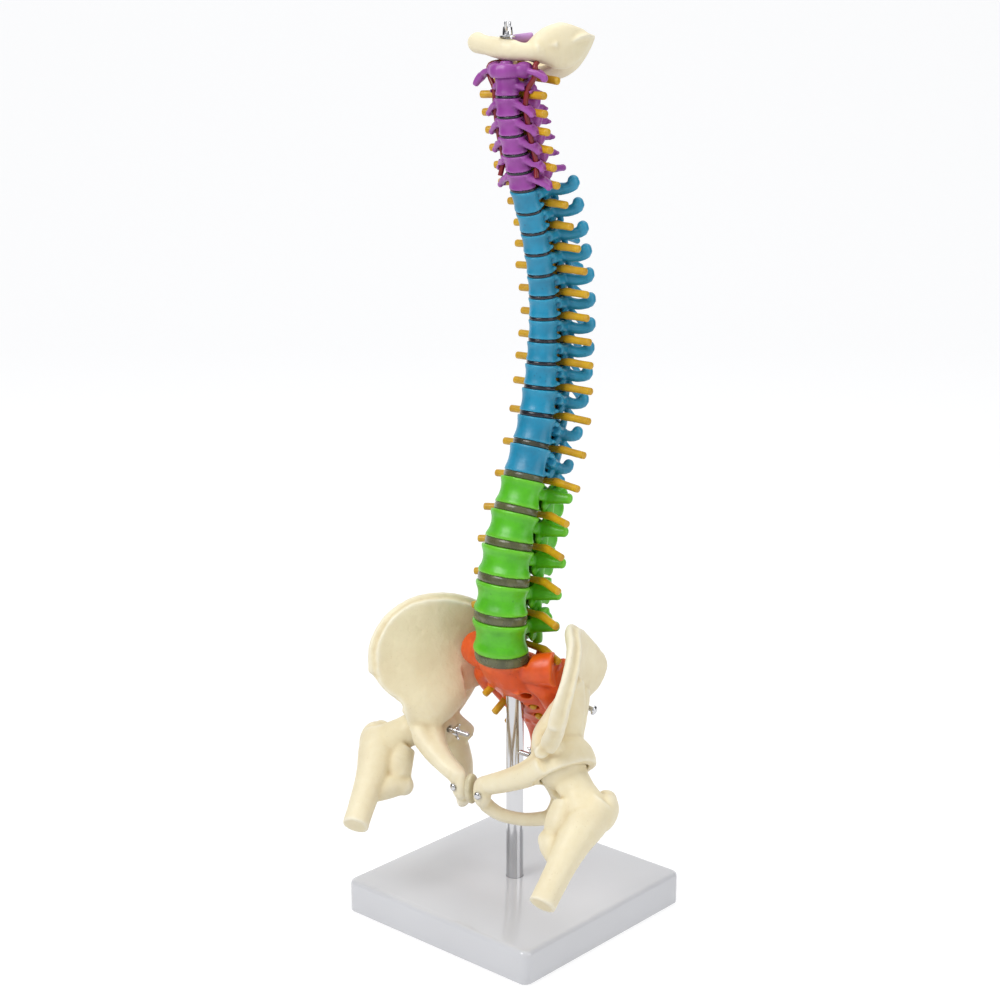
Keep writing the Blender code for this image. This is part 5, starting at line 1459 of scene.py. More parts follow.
    def make_arteries(self) -> None:
        """Builds both arteries."""
        for side in Side:
            clay = Clay()
            line = self.artery_line(side)
            clay.limb(line, [self.artery_radius] * len(line), 16, AHEAD, 4)
            piece = self.foundry.machined(f"artery_tube_{side.word}", clay, 75.0)
            self.foundry.issue(piece, ARTERY, f"vertebral_artery_{side.word}")

    def artery_space(self) -> Piece:
        """Tool for the holes that the arteries run through."""
        clay = Clay()
        for side in Side:
            line = self.artery_line(side)
            clay.limb(line, [self.artery_radius + 0.75] * len(line), 12, AHEAD, 4)
        return self.foundry.tool("artery_space", clay)


# Skull plate


@dataclass
class SkullPlate:
    """Occipital plate with its stud, washer and wing nut, and the stub of the brain stem."""

    foundry: Foundry
    stud_place: float = -6.2
    stud_radius: float = 1.4
    stud_span: tuple[float, float] = (425.0, 449.6)
    washer_height: float = 444.4
    stem_radius: float = 2.4
    stem_line: tuple[Point, Point] = ((-2.2, -0.4, 443.2), (4.9, 6.1, 444.4))

    def stud_space(self) -> Piece:
        """Tool for the hole of the stud."""
        low, high = self.stud_span
        clay = Clay()
        line = [(0, self.stud_place, low - 1.0), (0, self.stud_place, high + 2.0)]
        clay.limb(line, [self.stud_radius + 0.35] * 2, sides=24)
        return self.foundry.tool("stud_space", clay)

    def make_plate(self, stud_space: Piece) -> None:
        """Casts the plate: front bar, condyles and the hollow shell at the back."""
        clay = Clay()
        bar = [(-23.4, -1.4, 441.8), (-14.0, -4.6, 440.6), (0, -6.6, 439.0), (8.0, -3.0, 437.8),
               (14.0, 3.0, 438.6)]
        clay.limb(bar, [(5.0, 4.8), (4.6, 4.6), (5.4, 4.6), (4.2, 4.6), (6.0, 5.0)], level=UPRIGHT)
        lobe = [(8.6, -1.0, 437.6), (14.6, 4.6, 440.0), (19.0, 11.6, 440.6), (21.6, 18.6, 442.4),
                (22.6, 24.0, 444.2)]
        clay.limb(lobe, [(4.2, 4.4), (9.0, 5.4), (11.0, 5.6), (8.0, 4.4), (4.0, 2.6)], 24, UPRIGHT)
        rows = []
        for centre, edge, half, low, high in (
            (16.0, 8.0, 19.0, 433.0, 443.0),
            (21.0, 14.0, 22.4, 430.0, 447.0),
            (26.0, 20.4, 22.6, 429.6, 448.0),
            (31.0, 27.0, 19.6, 433.0, 447.0),
            (36.0, 32.4, 12.6, 441.0, 446.0),
        ):
            row = []
            for across in (-1.0, -0.8, -0.45, 0.0, 0.45, 0.8, 1.0):
                rim = high if across > 0 else min(high, 441.0)
                height = low + (rim - low) * abs(across) ** 2.2
                row.append((half * across, centre + (edge - centre) * across**2, height))
            rows.append(row)
        clay.sheet(rows, 3.6, (48, 32))
        clay.twin_limbs(
            [(12.0, -3.0, 439.4), (11.4, 6.0, 438.4), (9.0, 14.0, 436.6), (4.0, 18.6, 435.6)],
            [(4.4, 3.4), (4.0, 2.8), (3.4, 2.4), (3.0, 2.0)],
        )
        clay.twin_limbs([(13.0, 4.0, 440.0), (20.0, 8.0, 441.0)], [(6.0, 2.4), (5.0, 2.4)], level=AHEAD)
        clay.twin_balls((8.6, -0.6, 438.0), (3.2, 5.0, 3.6))
        clay.ball((-23.6, -1.2, 442.0), (5.0, 4.8, 5.0))
        clay.limb([(-23.0, -1.0, 440.0), (-21.0, 6.0, 439.0), (-18.6, 13.0, 439.4)], [3.4, 2.8, 2.4])
        piece = self.foundry.cast("skull_plate", clay, BROAD * 0.85, [stud_space], 0.16, (12, 2))
        self.foundry.issue(piece, BONE, "occipital_plate")

    def make_fastening(self) -> None:
        """Builds the threaded stud, its washer and its wing nut."""
        low, high = self.stud_span
        foot = self.washer_height
        seat = Matrix.Translation((0, self.stud_place, 0))
        clay = Clay()
        clay.turned(threaded(self.stud_radius, low, high, 0.7, 0.16), 28, seat)
        self.foundry.issue(self.foundry.machined("top_thread", clay), CHROME, "top_stud")
        clay = Clay()
        clay.turned(washer_profile(self.stud_radius + 0.3, 3.9, foot, 0.8), 40, seat)
        self.foundry.issue(self.foundry.machined("top_ring", clay), CHROME, "top_washer")
        frame = axis_frame(seat @ Vector((0, 0, foot + 0.95)), seat @ Vector((0, 0, foot + 6.0)), 118.0)
        piece = wing_nut(self.foundry, "top_nut", frame, 2.6, 4.0, 5.2, self.stud_radius + 0.15)
        self.foundry.issue(piece, CHROME, "top_wing_nut")

    def make_stem(self) -> None:
        """Builds the stub of the brain stem."""
        radius = self.stem_radius
        clay = Clay()
        profile = [(0, 0), (radius * 0.8, 0), (radius * 0.95, 0.8), (radius, 2.0), (radius, 8.8),
                   (radius * 0.95, 9.5), (radius * 0.8, 9.95), (radius * 0.4, 10.0), (0, 10.0)]
        clay.turned(profile, 36, axis_frame(*(Vector(point) for point in self.stem_line)))
        self.foundry.issue(self.foundry.machined("stem_stub", clay, 50.0), STEM, "brainstem_stub")


def threaded(radius: float, low: float, high: float, pitch: float, deep: float) -> Outline:
    """Half outline of a rod with fine thread ridges.

    Args:
        radius: Radius over the ridges.
        low: Height of its foot.
        high: Height of its end.
        pitch: Distance between ridges.
        deep: Depth of the grooves.

    Returns:
        Radius and height of each corner, from axis to axis.
    """
    count = int((high - low - 1.0) / pitch)
    core = radius - deep
    outline = [(0.0, low), (core, low)]
    for i in range(count):
        foot = low + 0.3 + i * pitch
        outline += [(radius, foot + pitch * 0.4), (radius, foot + pitch * 0.6), (core, foot + pitch)]
    return outline + [(radius * 0.7, high), (0.0, high)]


def washer_profile(inner: float, outer: float, foot: float, thick: float) -> Outline:
    """Half outline of a washer with broken edges.

    Args:
        inner: Radius of the hole.
        outer: Radius outside.
        foot: Height of its lower face.
        thick: Thickness.

    Returns:
        Radius and height of each corner, closed on itself.
    """
    edge = 0.15
    top = foot + thick
    return [(inner, foot), (outer - edge, foot), (outer, foot + edge), (outer, top - edge),
            (outer - edge, top), (inner, top)]


def wing_nut(foundry: Foundry, name: str, frame: Matrix, hub: float, height: float, span: float,
             bore: float) -> Piece:
    """Cast wing nut: tapered hub and two upswept ears.

    Args:
        foundry: What casts it.
        name: Name of the piece.
        frame: Frame with Z along the thread.
        hub: Radius of the hub.
        height: Height of the hub.
        span: Reach of an ear.
        bore: Radius of the hole.

    Returns:
        The piece.
    """
    clay = Clay()
    clay.limb([(0, 0, 0), (0, 0, height * 0.5), (0, 0, height)], [hub, hub * 0.95, hub * 0.86], sides=32)
    clay.twin_limbs(
        [(hub * 0.6, 0, height * 0.5), (span * 0.72, 0, height * 0.95), (span * 0.86, 0, height * 1.35),
         (span * 0.86, 0, height * 1.6)],
        [(0.62, hub * 0.5), (0.6, hub * 0.42), (0.62, span * 0.16), (0.6, span * 0.13)], 16, AHEAD,
    )
    clay.place(frame)
    hole = Clay()
    hole.limb([(0, 0, -2.0), (0, 0, height * 1.5)], [bore] * 2, sides=24)
    hole.place(frame)
    tool = foundry.tool(f"{name}_bore", hole)
    return foundry.cast(name, clay, 0.22, [tool], 0.0, (2, 1))


# Pelvis


@dataclass
class Sacrum:
    """Sacrum and coccyx, with the canal, the openings of the nerves and the seats of its screws."""

    foundry: Foundry
    column: Column
    side_place: tuple[float, float] = (27.5, 6.0)
    side_turn: float = 12.0
    line: tuple[tuple[float, float], ...] = (
        (-8.6, 139.0), (-4.0, 130.5), (5.0, 120.0), (13.2, 110.0), (18.4, 100.6), (20.2, 92.4),
        (18.0, 85.4), (14.6, 80.6),
    )

    def side_space(self, side: Side, medial: bool) -> Piece:
        """Tool for all that lies past one face of the sacroiliac joint.

        Args:
            side: Side of the joint.
            medial: Whether it is the sacrum's room, which the hip bone leaves free.

        Returns:
            The tool.
        """
        clay = Clay()
        away = GAP / 2 - 15.0 if medial else 15.0 - GAP / 2
        verts = bmesh.ops.create_cube(clay.bm, size=1.0)["verts"]
        bmesh.ops.scale(clay.bm, vec=(30.0, 60.0, 64.0), verts=verts)
        place = Matrix.Translation((side.value * self.side_place[0], self.side_place[1], 0))
        turn = Matrix.Rotation(math.radians(side.value * self.side_turn), 4, "Z")
        clay.place(place @ turn @ Matrix.Translation((side.value * away, 16.0, 120.0 if medial else 116.0)))
        return self.foundry.tool(f"side_{'in' if medial else 'out'}_{side.word}", clay)

    def canal(self) -> Piece:
        """Tool for the canal down the back of the sacrum."""
        clay = Clay()
        clay.limb(
            [(0, 5.0, 146.0), (0, 7.8, 137.0), (0, 12.0, 126.0), (0, 20.0, 112.0), (0, 24.0, 103.0)],
            [(5.2, 4.6), (5.2, 4.6), (5.0, 4.4), (4.2, 3.8), (3.2, 2.6)], sides=20,
        )
        return self.foundry.tool("sacral_canal", clay)

    def top_space(self, frame: Matrix) -> Piece:
        """Tool for the room of the lowest disc."""
        clay = Clay()
        half = self.column.disc.at("L5") / 2
        self.column.drum(clay, [(-half, 1.1), (half + 6.0, 1.1)], "L5", frame, 32)
        return self.foundry.tool("top_space", clay)

    def make(self, frame: Matrix, tools: Sequence[Piece]) -> None:
        """Casts the sacrum.

        Args:
            frame: Frame of the lowest disc.
            tools: What is cut out of it besides its own canal and the disc's room.
        """
        clay = Clay()
        spots = [(0.0, y, z) for y, z in self.line]
        sizes = [(15.6, 10.8), (16.0, 10.4), (18.0, 8.2), (16.6, 6.6), (12.8, 5.0), (8.6, 3.8), (4.4, 2.8),
                 (2.4, 2.0)]
        clay.limb(spots, sizes, sides=28)
        clay.limb(
            [(0, -10.6, 142.8), (0, -9.0, 139.8), (0, -6.6, 135.0)],
            [(15.6, 10.2), (15.8, 11.0), (15.0, 10.8)], sides=28,
        )
        self.add_sides(clay)
        for place in (0.12, 0.4, 0.68):
            clay.ball((0, 17.6 + place * 9.0, 130.0 - place * 26.0), (1.9, 2.8, 3.6))
        clay.limb(
            [(0, 14.0, 133.0), (0, 20.6, 121.0), (0, 25.4, 108.0), (0, 24.6, 98.0)],
            [(6.4, 3.4), (6.6, 2.6), (5.6, 2.4), (3.4, 2.0)], sides=20,
        )
        for y, z, across in ((-9.0, 122.6, 11.0), (1.0, 113.6, 9.6), (8.6, 105.4, 7.4), (14.0, 98.4, 5.4)):
            clay.limb([(-across, y, z), (0, y + 0.6, z + 0.4), (across, y, z)], [0.9, 1.3, 0.9])
        piece = self.foundry.cast(
            "sacrum_casting", clay, BROAD * 0.9, [self.top_space(frame), self.canal(), *tools], 0.14, (10, 2)
        )
        self.foundry.issue(piece, ORANGE, "sacrum_coccyx")

    def add_sides(self, clay: Clay) -> None:
        """Wings, side masses, joint processes and arch of both sides."""
        clay.twin_limbs(
            [(12.0, -4.4, 134.6), (20.0, -4.2, 136.8), (27.6, -1.0, 137.8)],
            [(7.4, 6.4), (7.8, 8.2), (7.6, 9.0)], 20, AHEAD,
        )
        clay.twin_limbs(
            [(24.4, 2.6, 137.0), (23.6, 7.0, 126.0), (19.0, 13.0, 112.0), (12.2, 18.0, 100.6)],
            [(5.2, 9.0), (6.6, 8.6), (5.0, 6.0), (3.0, 4.4)], 20,
        )
        clay.twin_limbs(
            [(14.0, -3.0, 131.0), (21.0, 0.6, 125.0), (21.0, 6.0, 116.0)],
            [(6.4, 6.0), (6.0, 6.4), (5.0, 5.6)], 20,
        )
        clay.twin_limbs(
            [(9.8, 6.0, 134.4), (10.4, 7.8, 140.4), (10.6, 8.6, 144.4)],
            [(2.8, 2.8), (2.4, 2.4), (1.9, 2.0)],
        )
        clay.twin_limbs(
            [(10.2, 8.0, 136.0), (6.0, 14.0, 133.6), (0, 16.8, 131.4)],
            [(2.2, 3.0), (1.8, 3.2), (1.8, 3.4)],
        )
        for y, z, across in ((17.6, 124.0, 9.6), (21.6, 115.0, 8.4), (23.4, 106.4, 6.6)):
            clay.twin_balls((across, y, z), (1.8, 1.8, 2.2))


@dataclass
class HipBones:
    """Both hip bones with their sockets, the pad between them and their screws."""

    foundry: Foundry
    centre: Point = HIP_CENTRE
    socket_radius: float = 13.6
    mouths: tuple[tuple[Side, Point, float], ...] = (
        (Side.RIGHT, (0.68, -0.42, -0.60), 3.5),
        (Side.LEFT, (0.62, -0.24, -0.75), 4.8),
    )
    nut_span: tuple[float, float] = (17.5, 33.5)
    nut_room: float = 5.6
    bolt_end: float = 10.0
    bolt_radius: float = HIP_BOLT_RADIUS
    side_screw: tuple[Point, Point] = ((41.4, 12.7, 115.9), (16.0, 9.0, 121.0))
    side_screw_radius: float = 1.3
    pubic_screw: tuple[Point, Point] = ((8.4, -37.8, 76.2), (7.2, -29.4, 76.2))
    pubic_screw_radius: float = 1.0
    pad_half: float = 1.6

    def rod_space(self, name: str, start: Vector, end: Vector, radius: float) -> Piece:
        """Tool for a straight hole."""
        clay = Clay()
        clay.limb([start, end], [radius] * 2, 24, UPRIGHT)
        return self.foundry.tool(name, clay)

    def screw_space(self, name: str, side: Side, ends: tuple[Point, Point], radius: float) -> Piece:
        """Tool for the hole of a screw that runs between two points of the left side."""
        start, end = side.of(ends)
        return self.rod_space(f"{name}_space_{side.word}", start, end, radius + 0.15)

    def holes(self, side: Side) -> list[Piece]:
        """Tools for a bone's socket, its bolt and wing nut, and its pubic screw."""
        centre = side.at(self.centre)
        seat, room = (centre - Vector((side.value * far, 0, 0)) for far in self.nut_span)
        end = Vector((side.value * self.bolt_end, centre.y, centre.z))
        return [
            *self.socket(side),
            self.rod_space(f"nut_space_{side.word}", seat, room, self.nut_room),
            self.rod_space(f"bolt_space_{side.word}", centre, end, self.bolt_radius + GAP),
            self.screw_space("pubic", side, self.pubic_screw, self.pubic_screw_radius),
        ]

    def socket(self, side: Side) -> list[Piece]:
        """Tools for the ball socket and for the open side that the neck comes out of."""
        centre = side.at(self.centre)
        way, depth = next((way, deep) for at, way, deep in self.mouths if at is side)
        axis = side.at(way).normalized()
        ball = Clay()
        ball.ball(centre, self.socket_radius)
        mouth = Clay()
        frame = axis_frame(centre + axis * depth, centre + axis * 25.0)
        mouth.turned(
            [(0, 0), (self.socket_radius + 3.2, 0), (self.socket_radius + 14.0, 24.0), (0, 24.0)], 40, frame
        )
        return [
            self.foundry.tool(f"socket_ball_{side.word}", ball),
            self.foundry.tool(f"socket_mouth_{side.word}", mouth),
        ]

    def add_wing(self, clay: Clay, side: Side) -> None:
        """Thin curved blade of the ilium with its thick crest."""
        crest = [(61.0, -42.0, 128.0), (62.4, -39.0, 139.6), (60.5, -31.0, 152.0), (54.0, -20.6, 160.4),
                 (43.6, -9.6, 163.4), (35.6, 3.0, 159.6), (32.0, 15.5, 150.4), (29.4, 29.0, 137.0)]
        brim = [(47.0, -34.0, 108.6), (42.0, -28.6, 107.0), (36.0, -23.0, 108.6), (33.0, -16.0, 112.0),
                (31.6, -7.0, 116.6), (30.6, 3.0, 118.6), (29.4, 12.0, 119.6), (27.0, 25.0, 122.0)]
        foot = [(46.0, -29.0, 99.0), (41.0, -26.0, 97.6), (36.4, -23.0, 98.6), (34.0, -18.6, 102.0),
                (32.6, -9.0, 110.0), (31.2, 2.0, 115.0), (29.8, 12.0, 117.0), (27.0, 25.0, 120.0)]
        rows = [side.of(foot)]
        for rise, bulge in ((0.0, 0.0), (0.3, 2.6), (0.65, 3.2), (0.88, 1.2), (1.0, 0.0)):
            row = []
            for low, high in zip(brim, crest):
                point = Vector(low).lerp(Vector(high), rise)
                row.append(point + Vector((point.x, point.y + 10.0, 0)).normalized() * bulge)
            rows.append(side.of(row))
        clay.sheet(rows, 3.6, (60, 38))
        clay.limb(side.of(brim), [(3.4, 3.6)] * 3 + [(3.6, 4.0)] * 5, 20, UPRIGHT)
        back = [(34.0, 10.0, 126.0), (37.0, 4.0, 117.0), (39.6, -4.0, 108.0), (43.0, -12.0, 100.0)]
        clay.limb(side.of(back), [(6.2, 5.4), (6.6, 6.2), (7.6, 7.4), (8.6, 8.4)], 24)
        front = [(46.0, -8.0, 137.0), (44.8, -7.0, 125.0), (43.8, -9.0, 114.0), (44.6, -13.0, 104.0)]
        clay.limb(side.of(front), [(2.6, 6.6), (4.6, 7.6), (6.0, 8.2), (8.0, 8.8)], 24)
        band = [Vector(point) - Vector((0.0, 0.0, 2.0)) for point in crest]
        clay.limb(side.of(band), [(3.2, 2.4)] + [(4.6, 2.3)] * 6 + [(3.6, 3.0)], 24, UPRIGHT)
        wall = [
            [(36.0, -19.6, 108.0), (33.4, -17.0, 109.6), (32.0, -13.6, 112.0), (32.0, -10.0, 115.0)],
            [(34.6, -19.2, 100.0), (31.8, -15.6, 100.6), (30.4, -12.0, 101.6), (29.6, -8.6, 103.0)],
            [(33.4, -18.0, 92.0), (31.4, -13.0, 91.0), (28.8, -6.6, 90.4), (25.2, -1.6, 90.4)],
            [(36.0, -13.0, 85.0), (34.4, -9.6, 83.0), (33.0, -6.6, 81.0), (32.0, -3.2, 80.0)],
            [(35.4, -5.0, 76.0), (34.8, -3.8, 74.0), (34.0, -2.6, 72.0), (33.4, -1.4, 71.0)],
        ]
        clay.sheet([side.of(row) for row in wall], 3.6, (32, 24))

    def make_bone(self, side: Side, tools: Sequence[Piece]) -> None:
        """Casts one hip bone.

        Args:
            side: Its side.
            tools: What is cut out of it.
        """
        clay = Clay()
        x, y, z = self.centre
        self.add_wing(clay, side)
        limbs: list[tuple[list[Point], list[Size], Point]] = [
            ([(42.0, -16.0, 103.0), (36.0, -13.4, 112.0), (33.4, -6.0, 118.4), (31.0, 5.0, 121.6),
              (30.0, 16.0, 123.0), (28.6, 27.0, 129.0)],
             [(8.4, 7.4), (6.6, 6.4), (5.0, 5.4), (4.6, 6.6), (4.6, 7.6), (4.0, 7.4)], SIDEWAYS),
            ([(46.0, -20.0, 106.0), (49.0, -31.0, 112.6), (55.0, -37.4, 120.0), (60.4, -41.0, 127.6)],
             [(7.6, 5.4), (4.4, 3.6), (3.2, 2.9), 2.7], SIDEWAYS),
            ([(42.0, -8.0, 92.0), (38.0, -3.6, 82.0), (35.0, -2.6, 73.0), (33.0, -4.0, 65.0)],
             [(8.6, 7.0), (6.6, 6.2), (5.4, 6.0), (5.0, 6.2)], SIDEWAYS),
            ([(31.0, -8.0, 61.4), (22.0, -17.0, 60.6), (13.0, -25.6, 63.6), (6.8, -31.0, 69.6)],
             [(3.8, 4.0), (3.0, 3.6), (3.0, 3.6), (3.6, 4.0)], SIDEWAYS),
            ([(41.0, -18.6, 110.0), (39.6, -21.4, 101.0), (34.0, -25.4, 92.6), (22.0, -31.0, 86.0),
              (8.0, -33.2, 80.0)], [(6.6, 6.0), (7.0, 7.0), (6.2, 7.0), (5.0, 5.8), (4.6, 5.0)], AHEAD),
            ([(44.0, -27.6, 99.0), (36.0, -30.0, 92.6), (24.0, -33.0, 86.6), (12.0, -34.4, 81.6)],
             [(6.2, 6.2), (5.8, 5.8), (4.6, 5.0), (3.6, 4.0)], AHEAD),
        ]
        for points, sizes, level in limbs:
            clay.limb(side.of(points), sizes, 24, level)
        for centre, radii in (
            ((x + 1.4, y + 0.6, z + 0.6), (16.2,) * 3), ((32.6, -4.6, 64.0), (5.0, 6.6, 5.4)),
            ((7.4, -33.2, 76.4), (5.2, 4.4, 8.6)),
        ):
            clay.ball(side.at(centre), radii)
        piece = self.foundry.cast(f"hip_casting_{side.word}", clay, BROAD, tools, 0.20, (22, 2))
        self.foundry.issue(piece, BONE, f"hip_bone_{side.word}")

    def make_screws(self, side: Side) -> None:
        """Builds the screw through the ilium and the screw in the pubic bone."""
        for name, node, ends, shank, short, head, rise in (
            ("wing_screw", "sacroiliac_screw", self.side_screw, self.side_screw_radius, 3.0, 2.5, 1.6),
            ("pubis_screw", "pubic_screw", self.pubic_screw, self.pubic_screw_radius, 0.6, 2.0, 1.2),
        ):
            start, end = side.of(ends)
            profile = screw_profile(shank, (end - start).length - short, head, rise)
            clay = Clay()
            clay.turned(profile, 32, axis_frame(start, end))
            piece = self.foundry.machined(f"{name}_{side.word}", clay)
            self.foundry.issue(piece, CHROME, f"{node}_{side.word}")

    def make_pad(self) -> None:
        """Builds the half-clear pad between the pubic bones."""
        clay = Clay()
        turn = Matrix.Rotation(math.radians(90), 4, "Y")
        rings = []
        for place, size in ((-1.0, 0.90), (-0.8, 0.97), (-0.4, 1.0), (0.4, 1.0), (0.8, 0.97), (1.0, 0.90)):
            frame = Matrix.Translation((place * self.pad_half, -33.2, 76.4)) @ turn
            rings.append(frame @ Matrix.Diagonal((8.0 * size, 4.0 * size, 1.0, 1.0)))
        clay.skin(rings, 40)
        self.foundry.issue(self.foundry.machined("pubis_pad", clay, 60.0), PAD, "pubic_pad")


def screw_profile(shank: float, length: float, head: float, rise: float) -> Outline:
    """Half outline of a round-headed screw whose head stands on the plane at zero.

    Args:
        shank: Radius of the shank.
        length: Length of the shank.
        head: Radius of the head.
        rise: Height of the head.

    Returns:
        Radius and height of each corner, from axis to axis.
    """
    outline = [(0.0, -rise), (head * 0.3, -rise * 0.99), (head * 0.62, -rise * 0.88)]
    outline += [(head * 0.86, -rise * 0.62), (head, -rise * 0.22), (head, 0.0), (shank, 0.0)]
    return outline + [(shank, length - shank), (shank * 0.4, length), (0.0, length)]


@dataclass
class Femurs:
    """Femur stubs with the bolts and wing nuts that hold their heads in the sockets."""

    foundry: Foundry
    centre: Point = HIP_CENTRE
    head_radius: float = 12.6
    bolt_radius: float = HIP_BOLT_RADIUS
    bolt_span: tuple[float, float] = (-2.0, -27.0)
    nut_place: float = -17.8
    turns: tuple[tuple[Side, Point, float, float], ...] = (
        (Side.RIGHT, (-53.0, -1.0, 24.0), 66.0, 6.2),
        (Side.LEFT, (-48.0, 19.0, 24.0), 69.0, 9.4),
    )

    def frame(self, side: Side, turn: Point) -> Matrix:
        """Frame at a head's centre, swung, tipped and twisted by three angles."""
        swing, tip, twist = (math.radians(angle) for angle in turn)
        spin = Matrix.Rotation(twist, 4, "Z") @ Matrix.Rotation(tip, 4, "Y") @ Matrix.Rotation(swing, 4, "X")
        return Matrix.Translation(side.at(self.centre)) @ spin

    def make_femur(self, side: Side, turn: Point, length: float, knob: float) -> None:
        """Casts one femur: head, neck, trochanters and the sawn shaft.

        Args:
            side: Its side.
            turn: Angles that it hangs at.
            length: From the head's centre to the saw cut.
            knob: How far out the lesser trochanter stands.
        """
        clay = Clay()
        limbs: list[tuple[list[Point], list[Size]]] = [
            ([(2.0, -0.2, -1.0), (13.0, -0.4, -8.8), (20.0, 0.2, -15.0), (24.0, 0.6, -19.0)],
             [(9.6, 10.0), (7.4, 8.8), (8.8, 11.6), (8.8, 10.6)]),
            ([(25.0, 1.0, -10.0), (23.0, 0.6, -21.0), (21.8, -0.4, -35.0), (21.8, -1.4, -52.0),
              (21.6, -1.6, -76.0)], [(9.4, 9.2), (10.2, 10.6), (8.4, 8.6), (6.9, 6.9), (6.7, 6.7)]),
            ([(knob, 7.0, -34.6), (13.0, 4.6, -37.6), (19.0, 1.6, -44.0)], [5.0, 6.6, 5.4]),
            ([(10.0, 1.2, -15.4), (12.0, 3.6, -25.0), (knob + 3.2, 6.0, -33.0)], [6.2, 8.2, 6.4]),
        ]
        for points, sizes in limbs:
            clay.limb(side.of(points), sizes, 28, AHEAD)
        for centre, radii in (
            ((0.0, 0.0, 0.0), (self.head_radius,) * 3), ((28.6, 2.6, -12.6), (7.2, 8.6, 10.6)),
            ((27.0, 5.0, -5.6), (5.6, 6.2, 6.2)), ((knob, 7.4, -35.0), (5.0, 5.0, 5.4)),
        ):
            clay.ball(side.at(centre), radii)
        frame = self.frame(side, turn)
        clay.place(frame)
        saw = Clay()
        bmesh.ops.create_cube(saw.bm, size=40.0)
        saw.place(frame @ Matrix.Translation((side.value * 22.0, 0, -length - 20.0)))
        centre = side.at(self.centre)
        hole = Clay()
        hole.limb(
            [centre + Vector((side.value * (self.bolt_span[0] + 0.8), 0, 0)),
             centre + Vector((side.value * self.bolt_span[1], 0, 0))],
            [self.bolt_radius + GAP] * 2, 24, UPRIGHT,
        )
        tools = [
            self.foundry.tool(f"saw_{side.word}", saw), self.foundry.tool(f"head_hole_{side.word}", hole)
        ]
        piece = self.foundry.cast(f"femur_casting_{side.word}", clay, BROAD, tools, 0.18, (12, 2))
        self.foundry.issue(piece, BONE, f"femur_{side.word}", side.leg)

    def make_bolt(self, side: Side) -> None:
        """Builds the threaded bolt and its wing nut inside the pelvis."""
        centre = side.at(self.centre)
        head = centre + Vector((side.value * self.bolt_span[0], 0, 0))
        end = centre + Vector((side.value * self.bolt_span[1], 0, 0))
        clay = Clay()
        length = (end - head).length + 0.6
        clay.turned(threaded(self.bolt_radius, 0.0, length, 0.7, 0.14), 28, axis_frame(head, end))
        piece = self.foundry.machined(f"bolt_thread_{side.word}", clay)
        self.foundry.issue(piece, CHROME, f"hip_bolt_{side.word}", side.leg)
        foot = centre + Vector((side.value * self.nut_place, 0, 0))
        frame = axis_frame(foot, end, 84.0)
        piece = wing_nut(
            self.foundry, f"bolt_nut_{side.word}", frame, 2.3, 2.4, 4.4, self.bolt_radius + GAP / 2
        )
        self.foundry.issue(piece, CHROME, f"hip_wing_nut_{side.word}", side.leg)

    def make(self) -> None:
        """Builds both femurs with their bolts."""
        for side, turn, length, knob in self.turns:
            self.make_femur(side, turn, length, knob)
            self.make_bolt(side)


# Stand


